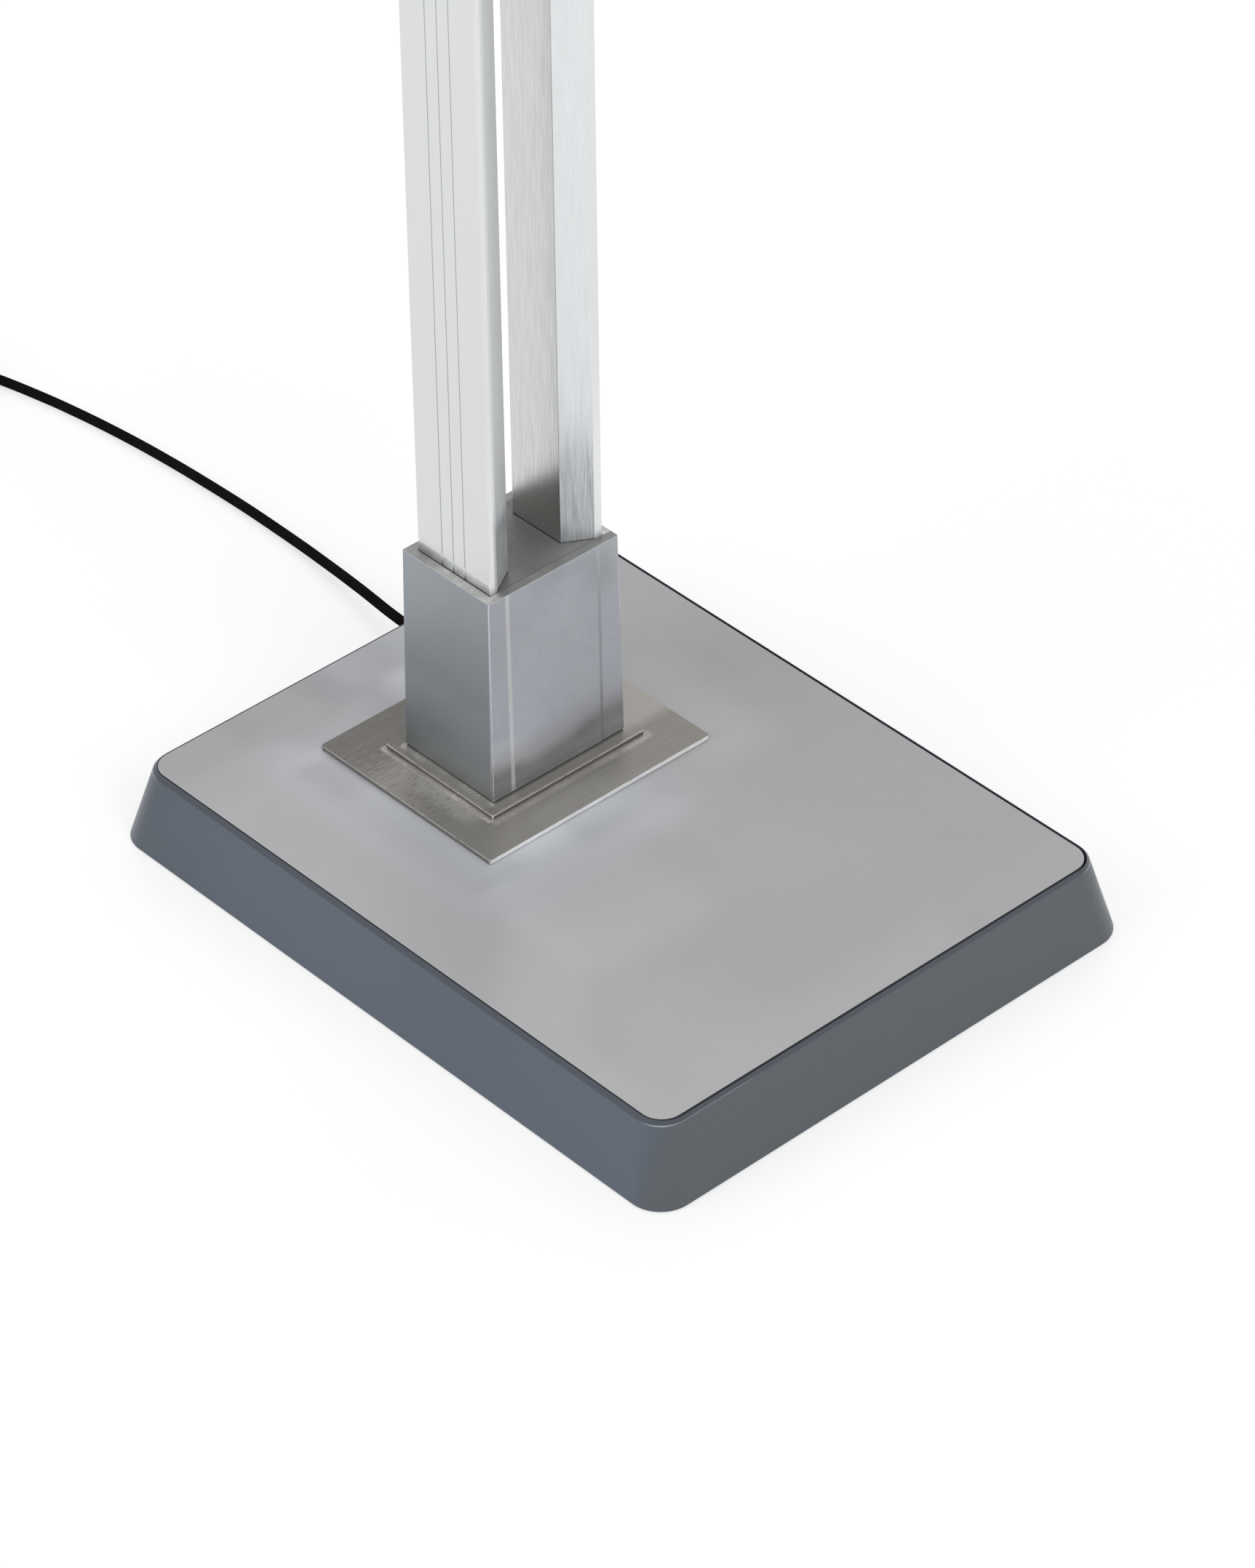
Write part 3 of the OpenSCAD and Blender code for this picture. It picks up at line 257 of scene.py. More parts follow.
def joined(shapes):
    """Several shapes as one."""
    firsts = np.cumsum([0] + [len(points) for points, _ in shapes])
    faces = [[first + i for i in f] for first, (_, fs) in zip(firsts, shapes) for f in fs]
    return np.concatenate([points for points, _ in shapes]), faces


def piece(name, shape, finish, body, smooth=32):
    """A mesh object with its finish, riding on a body, smooth except at sharp edges."""
    mesh = bpy.data.meshes.new(name)
    mesh.from_pydata(shape[0].tolist(), [], shape[1])
    mesh.update()
    bm = bmesh.new()
    bm.from_mesh(mesh)
    bmesh.ops.remove_doubles(bm, verts=bm.verts, dist=1e-7)
    bmesh.ops.recalc_face_normals(bm, faces=bm.faces)
    bm.to_mesh(mesh)
    bm.free()
    mesh.shade_smooth()
    mesh.set_sharp_from_angle(angle=math.radians(smooth))
    mesh.materials.append(finish)
    made = add_object(name, mesh)
    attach(made, body)
    return made


def faces_of(made):
    """The centres and directions of an object's faces."""
    polygons = made.data.polygons
    centre, normal = np.empty((2, len(polygons), 3))
    polygons.foreach_get("center", centre.ravel())
    polygons.foreach_get("normal", normal.ravel())
    return centre, normal


def refinish(made, *changes):
    """Gives chosen faces another finish. Each change is a choice of faces and a finish."""
    index = np.zeros(len(made.data.polygons), int)
    for k, (chosen, finish) in enumerate(changes):
        made.data.materials.append(finish)
        index[chosen] = k + 1
    made.data.polygons.foreach_set("material_index", index.tolist())


def dress(node, shape, finish=None, smooth=32):
    """A finer piece that stands for a CAD node, with its body and its finish or another."""
    finish = finish or FINISH[SLOT[node]]
    made = piece(node + "_fine", shape, finish, BODY[node], smooth)
    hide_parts(node)
    return made


# Finishes


def add_node(tree, kind, inputs=None, **settings):
    """A new shader node. Each input is set to a value, or linked to another node's socket."""
    made = tree.nodes.new(kind)
    for key, value in settings.items():
        setattr(made, key, value)
    for socket, value in (inputs or {}).items():
        if isinstance(value, bpy.types.NodeSocket):
            tree.links.new(value, made.inputs[socket])
        else:
            made.inputs[socket].default_value = value
    return made


def shade(colour, factor):
    """A colour made lighter or darker."""
    return tuple(min(1.0, c * factor) for c in colour)


class Finish:
    """A material: a Principled shader, and short calls for the nodes that feed it.

    A share is a number or a socket from nothing to one. Places along X, Y and Z are in mm.
    """

    def __init__(self, name, colour, roughness, metallic=0.0, **sockets):
        self.material = bpy.data.materials.new(name)
        self.material.use_nodes = True
        self.material.diffuse_color = (*colour, 1)
        self.tree = self.material.node_tree
        self.shader = self.tree.nodes["Principled BSDF"]
        sockets.update({"Base Color": (*colour, 1), "Roughness": roughness, "Metallic": metallic})
        for socket, value in sockets.items():
            self.shader.inputs[socket.replace("_", " ")].default_value = value
        self.place = self.node("ShaderNodeTexCoord").outputs["Object"]
        self.colour = colour
        self.height = None

    def node(self, kind, inputs=None, **settings):
        return add_node(self.tree, kind, inputs, **settings)

    def drive(self, socket, value):
        """Links a value to one of the shader's own sockets."""
        self.tree.links.new(value, self.shader.inputs[socket])

    def noise(self, scale, stretch=(1, 1, 1), detail=2.0, rough=0.5, shift=(0, 0, 0)):
        """Noise over object coordinates. A small stretch along an axis draws it out that way."""
        inputs = {"Vector": self.place, "Scale": stretch, "Location": shift}
        spot = self.node("ShaderNodeMapping", inputs).outputs["Vector"]
        inputs = {"Vector": spot, "Scale": scale, "Detail": detail, "Roughness": rough}
        return self.node("ShaderNodeTexNoise", inputs).outputs["Fac"]

    def axis(self, name):
        """One of the object coordinates X, Y and Z, in mm."""
        inputs = {0: self.place, "Scale": 1 / MM}
        scaled = self.node("ShaderNodeVectorMath", inputs, operation="SCALE").outputs[0]
        return self.node("ShaderNodeSeparateXYZ", {"Vector": scaled}).outputs[name]

    def span(self, value, low, high, to_low=0.0, to_high=1.0):
        """A value carried smoothly from one range to another, and held at its ends."""
        inputs = {"Value": value, "From Min": low, "From Max": high, "To Min": to_low, "To Max": to_high}
        made = self.node("ShaderNodeMapRange", inputs, interpolation_type="SMOOTHSTEP")
        return made.outputs["Result"]

    def maths(self, operation, a, b=0.0):
        return self.node("ShaderNodeMath", {0: a, 1: b}, operation=operation).outputs[0]

    def band(self, value, centre, half, soft):
        """One within half of a centre, falling smoothly to nothing over a soft edge."""
        off = self.maths("ABSOLUTE", self.maths("SUBTRACT", value, centre))
        return self.span(off, half + soft, half)

    def both(self, *shares):
        """The product of some shares."""
        found = shares[0]
        for share in shares[1:]:
            found = self.maths("MULTIPLY", found, share)
        return found

    def rest(self, share):
        """What a share leaves of one."""
        return self.maths("SUBTRACT", 1, share)

    def area(self, *shares, **ranges):
        """The product of shares and of ranges along axes: three numbers are a band, others a span."""
        for name, numbers in ranges.items():
            measure = self.band if len(numbers) == 3 else self.span
            shares = (*shares, measure(self.axis(name), *numbers))
        return self.both(*shares)

    def tint(self, tone, *shares, blend="MIX", **ranges):
        """Lays a tone over an area. It is a colour, or a factor of the finish's own colour."""
        colour = tone if isinstance(tone, tuple) else shade(self.colour, tone)
        target = self.shader.inputs["Base Color"]
        base = target.links[0].from_socket if target.is_linked else (*self.colour, 1)
        inputs = {"Factor": self.area(*shares, **ranges), 6: base, 7: (*colour, 1)}
        made = self.node("ShaderNodeMix", inputs, data_type="RGBA", blend_type=blend)
        self.drive("Base Color", made.outputs[2])

    def scale(self, factor, *shares, **ranges):
        """Makes the colours of an area lighter or darker by a factor."""
        self.tint((factor, factor, factor), *shares, blend="MULTIPLY", **ranges)

    def roughen(self, value, low, high):
        """Roughness that follows a value, from its low to its high end."""
        self.drive("Roughness", self.span(value, 0.3, 0.7, low, high))

    def raise_by(self, value, depth):
        """Adds a height to the finish's relief. Depth is in metres at the value's full swing."""
        step = self.maths("MULTIPLY", value, depth)
        self.height = step if self.height is None else self.maths("ADD", self.height, step)

    def done(self, strength=1.0):
        """Links the relief to the shader and gives the material."""
        if self.height is not None:
            inputs = {"Strength": strength, "Distance": 1.0, "Height": self.height}
            self.drive("Normal", self.node("ShaderNodeBump", inputs).outputs["Normal"])
        return self.material


def powder_coat(name, colour, roughness, cloud=0.06):
    """Satin powder coat: broad clouds of tone, a fine orange peel and a finer grain."""
    f = Finish(name, colour, roughness)
    f.tint(1 - cloud, f.span(f.noise(7, detail=1.5, rough=0.4), 0.35, 0.65))
    f.tint(1.16, f.span(f.noise(1400, detail=3), 0.35, 0.8, 0, 0.35))
    f.tint(0.8, f.span(f.noise(420, detail=2, shift=(3, 1, 2)), 0.66, 0.8, 0, 0.4))
    f.roughen(f.noise(60, detail=4), roughness - 0.04, roughness + 0.05)
    f.raise_by(f.noise(900, detail=2), 22e-6)
    f.raise_by(f.noise(260, detail=1), 30e-6)
    return f


def brushed_metal(name, colour, roughness, along, fine=1.0):
    """Brushed metal: noise drawn out along the brushing, in tone, roughness and relief."""
    f = Finish(name, colour, roughness, metallic=1.0)
    drawn = [1.0 if axis == along else 60.0 for axis in range(3)]
    hair = f.noise(30 * fine, stretch=drawn, detail=5, rough=0.65)
    band = f.noise(6 * fine, stretch=drawn, detail=3, rough=0.55, shift=(5, 3, 7))
    f.tint(0.84, f.span(hair, 0.3, 0.7))
    f.tint(1.12, f.span(band, 0.45, 0.75, 0, 0.6))
    f.roughen(hair, roughness - 0.07, roughness + 0.09)
    f.raise_by(hair, 9e-6)
    f.raise_by(band, 7e-6)
    return f.done()


def stainless_plate():
    """The two plates under the column: warm brushed steel, with weld residue by the joints, and painted
    shade and highlights in patches.
    """
    f = Finish("stainless_plate", (0.285, 0.270, 0.250), 0.38, metallic=0.5)
    # Painted shade towards the -X end and beside the collar, and a painted highlight in front of its +X
    # side
    f.tint(0.60, 0.9, X=(-105, -135))
    f.tint(0.84, 0.8, X=(-52, -44), Y=(10, 40))
    f.tint(0.44, 0.7, X=(-104, -128), Y=(15, -45))
    f.tint(1.18, 0.8, X=(-36, -26), Y=(-14, 18, 20))
    hair = f.noise(40, stretch=(60, 1, 60), detail=4, rough=0.6)
    f.tint(0.80, f.span(hair, 0.5, 0.72, 0, 0.6))
    f.tint(1.22, f.span(hair, 0.5, 0.28, 0, 0.5))
    strong = f.noise(84, stretch=(26, 1.6, 26), detail=4, rough=0.75, shift=(1, 8, 2))
    near = f.area(X=(-95, 24, 32), Y=(-54, -62))
    # Painted highlight on the lower plate beside the upper plate's -Y edge
    f.tint(1.45, 0.8, X=(-78, 24, 14), Y=(-76, -61))
    f.tint(0.50, near, f.span(strong, 0.52, 0.60, 0, 0.75))
    f.tint(1.75, near, f.span(strong, 0.46, 0.38, 0, 0.5))
    speck = f.span(f.noise(900, detail=5, rough=0.8), 0.47, 0.53)
    patch = f.span(f.noise(60, detail=3), 0.38, 0.58, 0.25, 1)
    for node in ("upper_steel_plate", "collar"):
        low, high = corners(node) / MM
        across, half = (low + high)[0] / 2, (high - low)[0] / 2
        row = f.area(X=(across, half, 2), Y=(low[1] - 1.8, 0.8, 2.6))
        f.tint(1.45, row, 0.5)
        f.tint((0.66, 0.63, 0.58), row, patch, speck)
        f.raise_by(f.both(row, patch, f.noise(1300, detail=3)), 120e-6)
    low, high = corners("upper_steel_plate") / MM
    beside = f.area(X=(high[0] + 2.2, 0.8, 4), Y=(0, high[1], 4))
    f.tint(1.5, beside, 0.5)
    f.tint((0.60, 0.57, 0.52), beside, patch, speck, 0.5)
    # Painted highlight by the upper plate's -Y edge, and painted shade on the upper plate's top near
    # that edge
    f.scale(1.28, X=(-70, 16, 16), Y=(-64, 4, 9))
    f.scale(0.80, X=(-72, 26, 14), Y=(-51, -53), Z=(low[2] + 0.8, low[2] + 1.2))
    f.roughen(hair, 0.32, 0.46)
    f.raise_by(hair, 8e-6)
    f.raise_by(f.both(near, strong), 14e-6)
    return f.done()


def plate_bevel_highlight():
    """The plates' bevels: a painted highlight, pale with darker patches at random, over their darker
    sides.
    """
    f = Finish("plate_bevel_highlight", (0.80, 0.775, 0.74), 0.28, metallic=0.6)
    f.tint((0.30, 0.285, 0.265), f.span(f.noise(160, detail=4, rough=0.7), 0.45, 0.7))
    return f.done()


def plate_side_shade_and_reflection():
    """The plates' cut sides: painted dark as shade, with a painted near-white reflection along the long
    free end's side, and darker again above the lower plate.
    """
    f = Finish("plate_side_shade_and_reflection", (0.19, 0.184, 0.178), 0.45, metallic=0.1)
    high = corners("lower_steel_plate")[1] / MM
    uneven = f.span(f.noise(30, detail=3), 0.3, 0.6, 0.8, 1)
    # Painted near-white reflection on the +X end's side
    f.tint((0.95, 0.97, 0.98), uneven, X=(high[0] - 0.3, high[0] - 0.1))
    # Painted shade: the upper plate's sides darker
    f.scale(0.80, Z=(high[2] + 0.1, high[2] + 0.3))
    f.raise_by(f.noise(800, detail=3), 20e-6)
    return f.done()


def collar_finish():
    """The collar: satin bluish grey metal with a fine grain, its +X side smoother and painted paler as
    lit, with painted highlights and painted shade.
    """
    f = Finish("collar_finish", (0.335, 0.36, 0.383), 0.40, metallic=0.85)
    low, high = corners("collar") / MM
    near, far, foot, top = -NEAR_LINE / MM, FAR_LINE / MM, low[2], high[2]
    front = f.area(X=(high[0] - 2.8, high[0] - 2.3))
    # Painted light: the +X side paler than the others
    f.tint((0.735, 0.765, 0.818), front)
    f.tint((0.815, 0.845, 0.892), front, f.span(f.noise(14), 0.42, 0.62, 0, 0.5))
    f.tint((0.26, 0.272, 0.288), f.span(f.noise(800, detail=3, rough=0.7), 0.42, 0.75, 0, 0.2))
    f.tint((0.26, 0.27, 0.288), f.span(f.noise(90, detail=0), 0.45, 0.7, 0, 0.03))
    # Painted shade low on the +X side, deeper towards +Y, and a painted highlight band above it
    height = f.maths("ADD", f.axis("Z"), f.span(f.noise(16), 0.3, 0.7, -4, 4))
    f.tint((0.20, 0.20, 0.215), front, f.band(height, foot + 9, 3, 14), Y=(20, 45, 0.55, 0.42))
    f.tint((0.93, 0.95, 0.98), front, f.band(height, foot + 31, 4, 10), 0.6, Y=(-15, -40))
    # Painted shade towards the top of the +X side
    f.tint((0.36, 0.375, 0.40), front, 0.6, Y=(8, 44), Z=(top - 50, top - 8))
    f.tint((0.36, 0.375, 0.40), front, 0.2, Y=(-30, 0), Z=(top - 14, top - 5))
    f.tint((0.42, 0.44, 0.47), front, 0.12, Y=(near + 1, near - 1))
    # Painted highlight along the near line and painted shade along the far line, at the panel's small
    # steps
    f.tint((1.0, 1.0, 1.0), front, 0.9, Y=(near, 0.5, 1.6))
    f.tint((0.27, 0.28, 0.30), front, 0.4, Y=(far, 0.4, 1.3))
    # Painted shade round the foot, and a painted lighter band above it on the other sides
    f.tint((0.24, 0.245, 0.25), 0.4, Z=(foot + 8, foot))
    f.scale(1.09, f.rest(front), Z=(foot + 35, 18, 14))
    grit = f.span(f.noise(40, detail=1), 0.3, 0.7, 0.39, 0.42)
    f.drive("Roughness", f.maths("SUBTRACT", grit, f.both(front, 0.15)))
    f.raise_by(f.noise(1500, detail=3), 0.3e-6)
    return f.done()


def collar_land():
    """The collar's sawn top: mottled silver, with painted shade along the +X side, deeper at its ends,
    and at the -X end.
    """
    f = Finish("collar_land", (0.50, 0.503, 0.485), 0.36, metallic=0.5)
    low, high = corners("collar") / MM
    mottle = f.noise(140, detail=5, rough=0.7)
    f.tint((0.74, 0.74, 0.73), f.span(mottle, 0.45, 0.68, 0, 0.7))
    # Painted shade in front of the uprights' +X ends, and at the -X end below
    along = f.area(X=(high[0] - 7.6, high[0] - 7.2))
    f.tint((0.25, 0.252, 0.25), along, 0.85, Y=(low[1] + 10, low[1] + 14))
    ends = f.maths("MAXIMUM", f.area(Y=(-26, 6, 8)), f.area(Y=(34, 39)))
    f.tint((0.17, 0.172, 0.17), along, ends, 0.5)
    f.tint((0.22, 0.222, 0.22), 0.75, X=(low[0] + 34, low[0] + 12))
    f.tint((0.27, 0.27, 0.26), f.span(mottle, 0.42, 0.3, 0, 0.5))
    f.raise_by(mottle, 50e-6)
    return f.done()


def edge_highlight_and_nicks():
    """The collar's crisp edges: a painted highlight, near white low down, with small dark nicks."""
    f = Finish("edge_highlight_and_nicks", (0.50, 0.51, 0.53), 0.3, metallic=0.4)
    foot = corners("collar")[0][2] / MM
    f.tint((0.98, 0.99, 1.0), Z=(foot + 110, foot + 50))
    f.tint((0.30, 0.31, 0.32), f.span(f.noise(260, detail=4, rough=0.7), 0.5, 0.7))
    return f.done()


def drawn_aluminium():
    """The uprights: pale aluminium that mirrors softly, brushed finely along the column.

    Its parts are the outer skin, the flat inside face, and the slope between them. The slope is painted
    lighter; painted shade and bluish painted reflections lie low down, and painted highlights above the
    collar.
    """
    f = Finish("drawn_aluminium", (0.70, 0.716, 0.708), 0.2, metallic=0.95)
    x, y, z = (f.axis(name) for name in "XYZ")
    low, high = corners("upright_left") / MM
    over = corners("collar")[1][2] / MM
    side = f.maths("ABSOLUTE", y)
    within = f.span(side, high[1] - 0.5, high[1] - 1.5)
    inside = f.span(side, low[1] + 0.25, low[1] + 0.05)
    skin, slope = f.rest(within), f.both(within, f.rest(inside))
    hair = f.noise(34, stretch=(60, 60, 1), detail=5, rough=0.65)
    dashes = f.noise(36, stretch=(55, 55, 1), detail=4, rough=0.75, shift=(2, 2, 2))
    wide = f.noise(30, stretch=(16, 16, 1), detail=3, rough=0.65, shift=(4, 4, 4))
    # Painted light: the slope lighter than the skin, the inside face a little darker
    f.tint((0.785, 0.81, 0.822), slope)
    f.tint((0.68, 0.688, 0.68), inside)
    combed = f.both(within, f.span(inside, 0, 1, 0.3, 1))
    f.tint(0.78, combed, f.span(hair, 0.4, 0.68, 0, 0.6))
    f.tint((0.94, 0.95, 0.96), combed, f.span(hair, 0.42, 0.25, 0, 0.7))
    f.tint(0.80, combed, f.span(wide, 0.5, 0.66, 0, 0.35))
    ragged = f.maths("ADD", z, f.span(dashes, 0.3, 0.7, 3, -3))
    rise = f.maths("MULTIPLY", f.maths("SUBTRACT", x, low[0]), 0.73)
    leaning = f.maths("SUBTRACT", ragged, rise)
    # Painted shade low on the inside face, above the collar
    f.tint((0.20, 0.19, 0.17), inside, f.span(leaning, over + 17, over), 0.4)
    # Painted highlight on one slope above the collar
    painted_light_slope = f.area(slope, f.span(ragged, over + 38, over + 50), Y=(0, -5))
    f.tint((0.94, 0.955, 0.96), painted_light_slope, Z=(over + 60, over + 170, 0.85, 0.5))
    # Painted reflection low on the slope: bluish dark streaks, and white streaks below
    below = f.both(slope, f.span(ragged, over + 90, over + 40))
    low_slope_reflection = f.area(below, Y=(-5, 5, 0.6, 1))
    f.tint((0.40, 0.45, 0.51), low_slope_reflection, f.span(dashes, 0.47, 0.6, 0, 0.65))
    f.tint((0.42, 0.47, 0.53), low_slope_reflection, f.span(wide, 0.48, 0.6, 0, 0.4))
    # Painted shade in the gap at the slope's foot
    slit = f.maths("SUBTRACT", z, f.span(y, -5, 5, 0.4, 0))
    f.tint((0.03, 0.03, 0.03), slope, f.span(slit, over + 0.7, over + 0.3), 0.8)
    f.tint((0.97, 0.99, 1.0), below, f.span(dashes, 0.47, 0.34, 0, 0.65))
    # Painted dark reflection at the skin's foot, and a painted lighter band just above it
    f.tint((0.18, 0.185, 0.185), skin, f.span(ragged, over + 5, over + 1), 0.3)
    f.scale(1.28, skin, Z=(over + 5.2, 0.8, 3))
    grit = f.span(hair, 0.3, 0.7, 0.15, 0.27)
    f.drive("Roughness", f.maths("ADD", grit, f.both(inside, 0.08)))
    shine = f.span(slope, 0, 1, 0.95, 0.62)
    f.drive("Metallic", f.maths("SUBTRACT", shine, f.both(painted_light_slope, 0.25)))
    f.raise_by(f.both(within, hair), 8e-6)
    f.raise_by(hair, 2e-6)
    return f.done()


def upright_land_painted_light():
    """The uprights' narrow flats along the column's two ends: painted near white as a highlight, whitest
    low down, with painted shade at the foot and on the -Y upright's inner part.
    """
    f = Finish("upright_land_painted_light", (0.94, 0.95, 0.955), 0.35, metallic=0.1)
    over = corners("collar")[1][2] / MM
    # Painted light whiter low down, painted shade on the -Y upright's inner part and at the foot
    f.tint((0.78, 0.79, 0.795), 0.7, Z=(over + 30, over + 140))
    turned_in = f.both(f.area(Y=(-38.6, -37.8)), f.area(Y=(5, -5)))
    f.tint((0.50, 0.505, 0.51), turned_in, Z=(over + 40, over + 60, 0.9, 0.4))
    f.tint((0.40, 0.41, 0.42), 0.65, Z=(over + 6, over))
    f.raise_by(f.noise(34, stretch=(60, 60, 1), detail=3), 4e-6)
    return f.done()


def rubber(name, colour, roughness, gloss=0.5):
    """Soft black rubber or PVC: a satin skin with a fine grain and slight scuffs."""
    f = Finish(name, colour, roughness, Specular_IOR_Level=gloss)
    f.tint(1.7, f.span(f.noise(90, detail=4), 0.45, 0.75, 0, 0.5))
    f.roughen(f.noise(140, detail=3), roughness - 0.08, roughness + 0.08)
    f.raise_by(f.noise(1200, detail=3), 20e-6)
    return f.done()


def moulded(name, colour, roughness, texture=18e-6):
    """Moulded plastic with a fine spark-eroded texture."""
    f = Finish(name, colour, roughness)
    f.tint(0.93, f.span(f.noise(30, detail=3), 0.35, 0.7, 0, 0.5))
    f.roughen(f.noise(500, detail=3), roughness - 0.05, roughness + 0.06)
    f.raise_by(f.noise(1600, detail=3), texture)
    return f.done()


def plated(name, colour, roughness):
    """Plated or bare turned metal with faint tool marks and stains."""
    f = Finish(name, colour, roughness, metallic=1.0)
    f.tint(0.8, f.span(f.noise(220, detail=4), 0.4, 0.75, 0, 0.6))
    f.roughen(f.noise(300, detail=3), roughness - 0.06, roughness + 0.08)
    f.raise_by(f.noise(900, detail=2), 8e-6)
    return f.done()


def core_finish():
    """The block between the uprights: dark grey metal with a faint milled grain."""
    f = Finish("core_finish", (0.165, 0.161, 0.157), 0.42, metallic=0.3)
    milled = f.noise(24, stretch=(1, 16, 16), detail=3, rough=0.6)
    f.tint(1.25, f.span(milled, 0.35, 0.65, 0, 0.6))
    # Painted light and shade: lighter towards the +X end and the +Y side, darker deep between the
    # uprights
    f.tint(2.0, 0.75, X=(-80, -52), Y=(-12, 16, 0.3, 1))
    f.roughen(f.noise(90, detail=3), 0.38, 0.46)
    f.raise_by(milled, 5e-6)
    f.raise_by(f.noise(1300, detail=3), 3e-6)
    return f.done()


def opal_sheet():
    """Opal acrylic over a fine prismatic face, unlit."""
    deep = {"Subsurface Weight": 0.15, "Subsurface Scale": 4 * MM}
    f = Finish("opal_sheet", (0.86, 0.865, 0.86), 0.32, **deep)
    pitch, depth = 3, 0.18 * MM
    waves = [f.maths("SINE", f.maths("MULTIPLY", f.axis(name), 2 * math.pi / pitch)) for name in "XY"]
    f.raise_by(f.both(*(f.maths("ABSOLUTE", wave) for wave in waves)), depth)
    f.tint((0.80, 0.805, 0.80), f.span(f.noise(9), 0.3, 0.7, 0, 0.6))
    return f.done(0.7)


def clear_sheet():
    """Clear acrylic, with a faint haze of handling marks."""
    f = Finish("clear_sheet", (0.96, 0.975, 0.98), 0.04, Transmission_Weight=1.0, IOR=1.49)
    f.roughen(f.noise(25, detail=5, rough=0.7), 0.03, 0.09)
    f.tint((0.90, 0.93, 0.94), f.span(f.noise(18, detail=4), 0.5, 0.8, 0, 0.3))
    return f.done()


def light_board():
    """A white circuit board with yellow emitters standing on it and thin copper-coloured tracks."""
    f = Finish("light_board", (0.82, 0.82, 0.79), 0.42)
    top = corners("upper_led_board")[1][2] / MM
    foot = corners("lower_led_board")[0][2] / MM
    emitters = f.maths("ADD", f.area(Z=(top - 0.5, top - 0.3)), f.area(Z=(foot + 0.5, foot + 0.3)))
    f.tint((0.80, 0.62, 0.16), emitters)
    track = f.noise(40, stretch=(1, 30, 1), detail=1)
    f.tint((0.66, 0.62, 0.55), f.span(track, 0.62, 0.64, 0, 0.5))
    f.roughen(f.noise(300), 0.35, 0.5)
    return f.done()


def circuit_board():
    """Green solder resist with faint tracks under it."""
    f = Finish("circuit_board", (0.03, 0.17, 0.07), 0.3)
    track = f.noise(120, stretch=(1, 1, 0.1), detail=1)
    f.tint((0.05, 0.26, 0.11), f.span(track, 0.55, 0.6, 0, 0.6))
    f.roughen(f.noise(400), 0.25, 0.4)
    return f.done()


COVER_GREY = (0.405, 0.403, 0.412)
RIM_GREY = (0.085, 0.107, 0.142)
SHOULDER_DROP = 2.95 * MM
# The two fine lines down the collar's +X side, at -NEAR_LINE and at FAR_LINE across
NEAR_LINE = 35 * MM
FAR_LINE = 33.2 * MM


def cover_finish():
    """The cover plate's coat, with broad soft changes of tone, painted light and shade in patches round
    the column, and scattered dust.
    """
    f = powder_coat("cover_paint", COVER_GREY, 0.42, cloud=0.05)
    steel = corners("lower_steel_plate")[1][0] / MM
    # Painted light and shade: lighter towards -Y and in a glow round the steel plates, painted shade
    # beside and behind them
    f.tint((0.468, 0.470, 0.482), 0.75, Y=(-20, -120))
    f.tint((0.55, 0.565, 0.60), X=(steel + 60, steel + 2), Y=(-38, 48, 50))
    f.tint((0.68, 0.695, 0.73), 0.6, X=(steel + 18, steel + 1), Y=(-45, 35, 30))
    f.tint(0.86, 0.6, X=(-172, 8, 14), Y=(-55, 25, 30))
    f.tint(0.84, 0.85, X=(-150, -200), Y=(-20, -60))
    # Smaller patches of painted light and shade
    f.scale(0.75, X=(-205, 12, 16), Y=(-20, 16, 30))
    f.scale(0.82, X=(-75, 70, 16), Y=(-88, 6, 28))
    f.scale(0.90, X=(-135, 10, 22), Y=(-88, 6, 24))
    f.scale(1.13, X=(65, 20, 35), Y=(-60, 25, 35))
    f.scale(1.14, X=(-45, 40, 35), Y=(92, 6, 42))
    f.scale(1.10, X=(-200, 15, 25), Y=(-145, 20, 25))
    f.scale(0.88, X=(-2, 5, 18), Y=(5, 30, 15))
    # A painted beam of light in front of the plates, and painted light near the -Y and +X edges
    slant = f.maths("ADD", f.axis("X"), f.maths("MULTIPLY", f.axis("Y"), 0.9))
    f.scale(1.11, f.band(slant, -35, 15, 35), Y=(-85, -110))
    f.tint((0.49, 0.493, 0.495), 0.8, X=(80, 160), Y=(-142, -158))
    f.tint((0.45, 0.455, 0.458), 0.6, X=(170, 205), Y=(80, 50))
    f.tint((0.60, 0.60, 0.60), f.span(f.noise(620, detail=0), 0.82, 0.86, 0, 0.22))
    return f.done()


def rim_finish():
    """The rim's coat: painted shade on the shoulder, painted light and shade by side, and a painted
    highlight line and glints where it turns down.
    """
    f = powder_coat("rim_paint", RIM_GREY, 0.34, cloud=0.08)
    low, high = corners("foot_rim") / MM
    fold = high[2] - SHOULDER_DROP / MM
    front = f.area(X=(high[0] - 26, high[0] - 12))
    # Painted light and shade by side: darker at the -X end, lighter towards +X, greyer at the +X end
    f.tint(0.80, 0.8, X=(low[0] + 130, low[0] + 20))
    f.tint(1.07, 0.8, X=(-20, high[0] - 20))
    f.tint((0.085, 0.098, 0.112), front, 0.95)
    # Painted shade on the shoulder
    f.tint((0.052, 0.060, 0.077), 0.8, Z=(fold - 0.5, fold + 0.4))
    # Painted highlight line along the fold near the front corner, and painted glints at the corners
    line = f.area(Z=(fold - 0.1, 0.15, 0.4))
    f.tint((0.24, 0.265, 0.30), line, front, 0.5, Y=(-88, -112))
    ends = [
        f.span(f.maths("ABSOLUTE", f.axis(name)), half - 30, half - 18)
        for name, half in zip("XY", (high - low) / 2)
    ]
    f.tint((0.36, 0.40, 0.46), line, *ends, 0.85)
    return f.done()


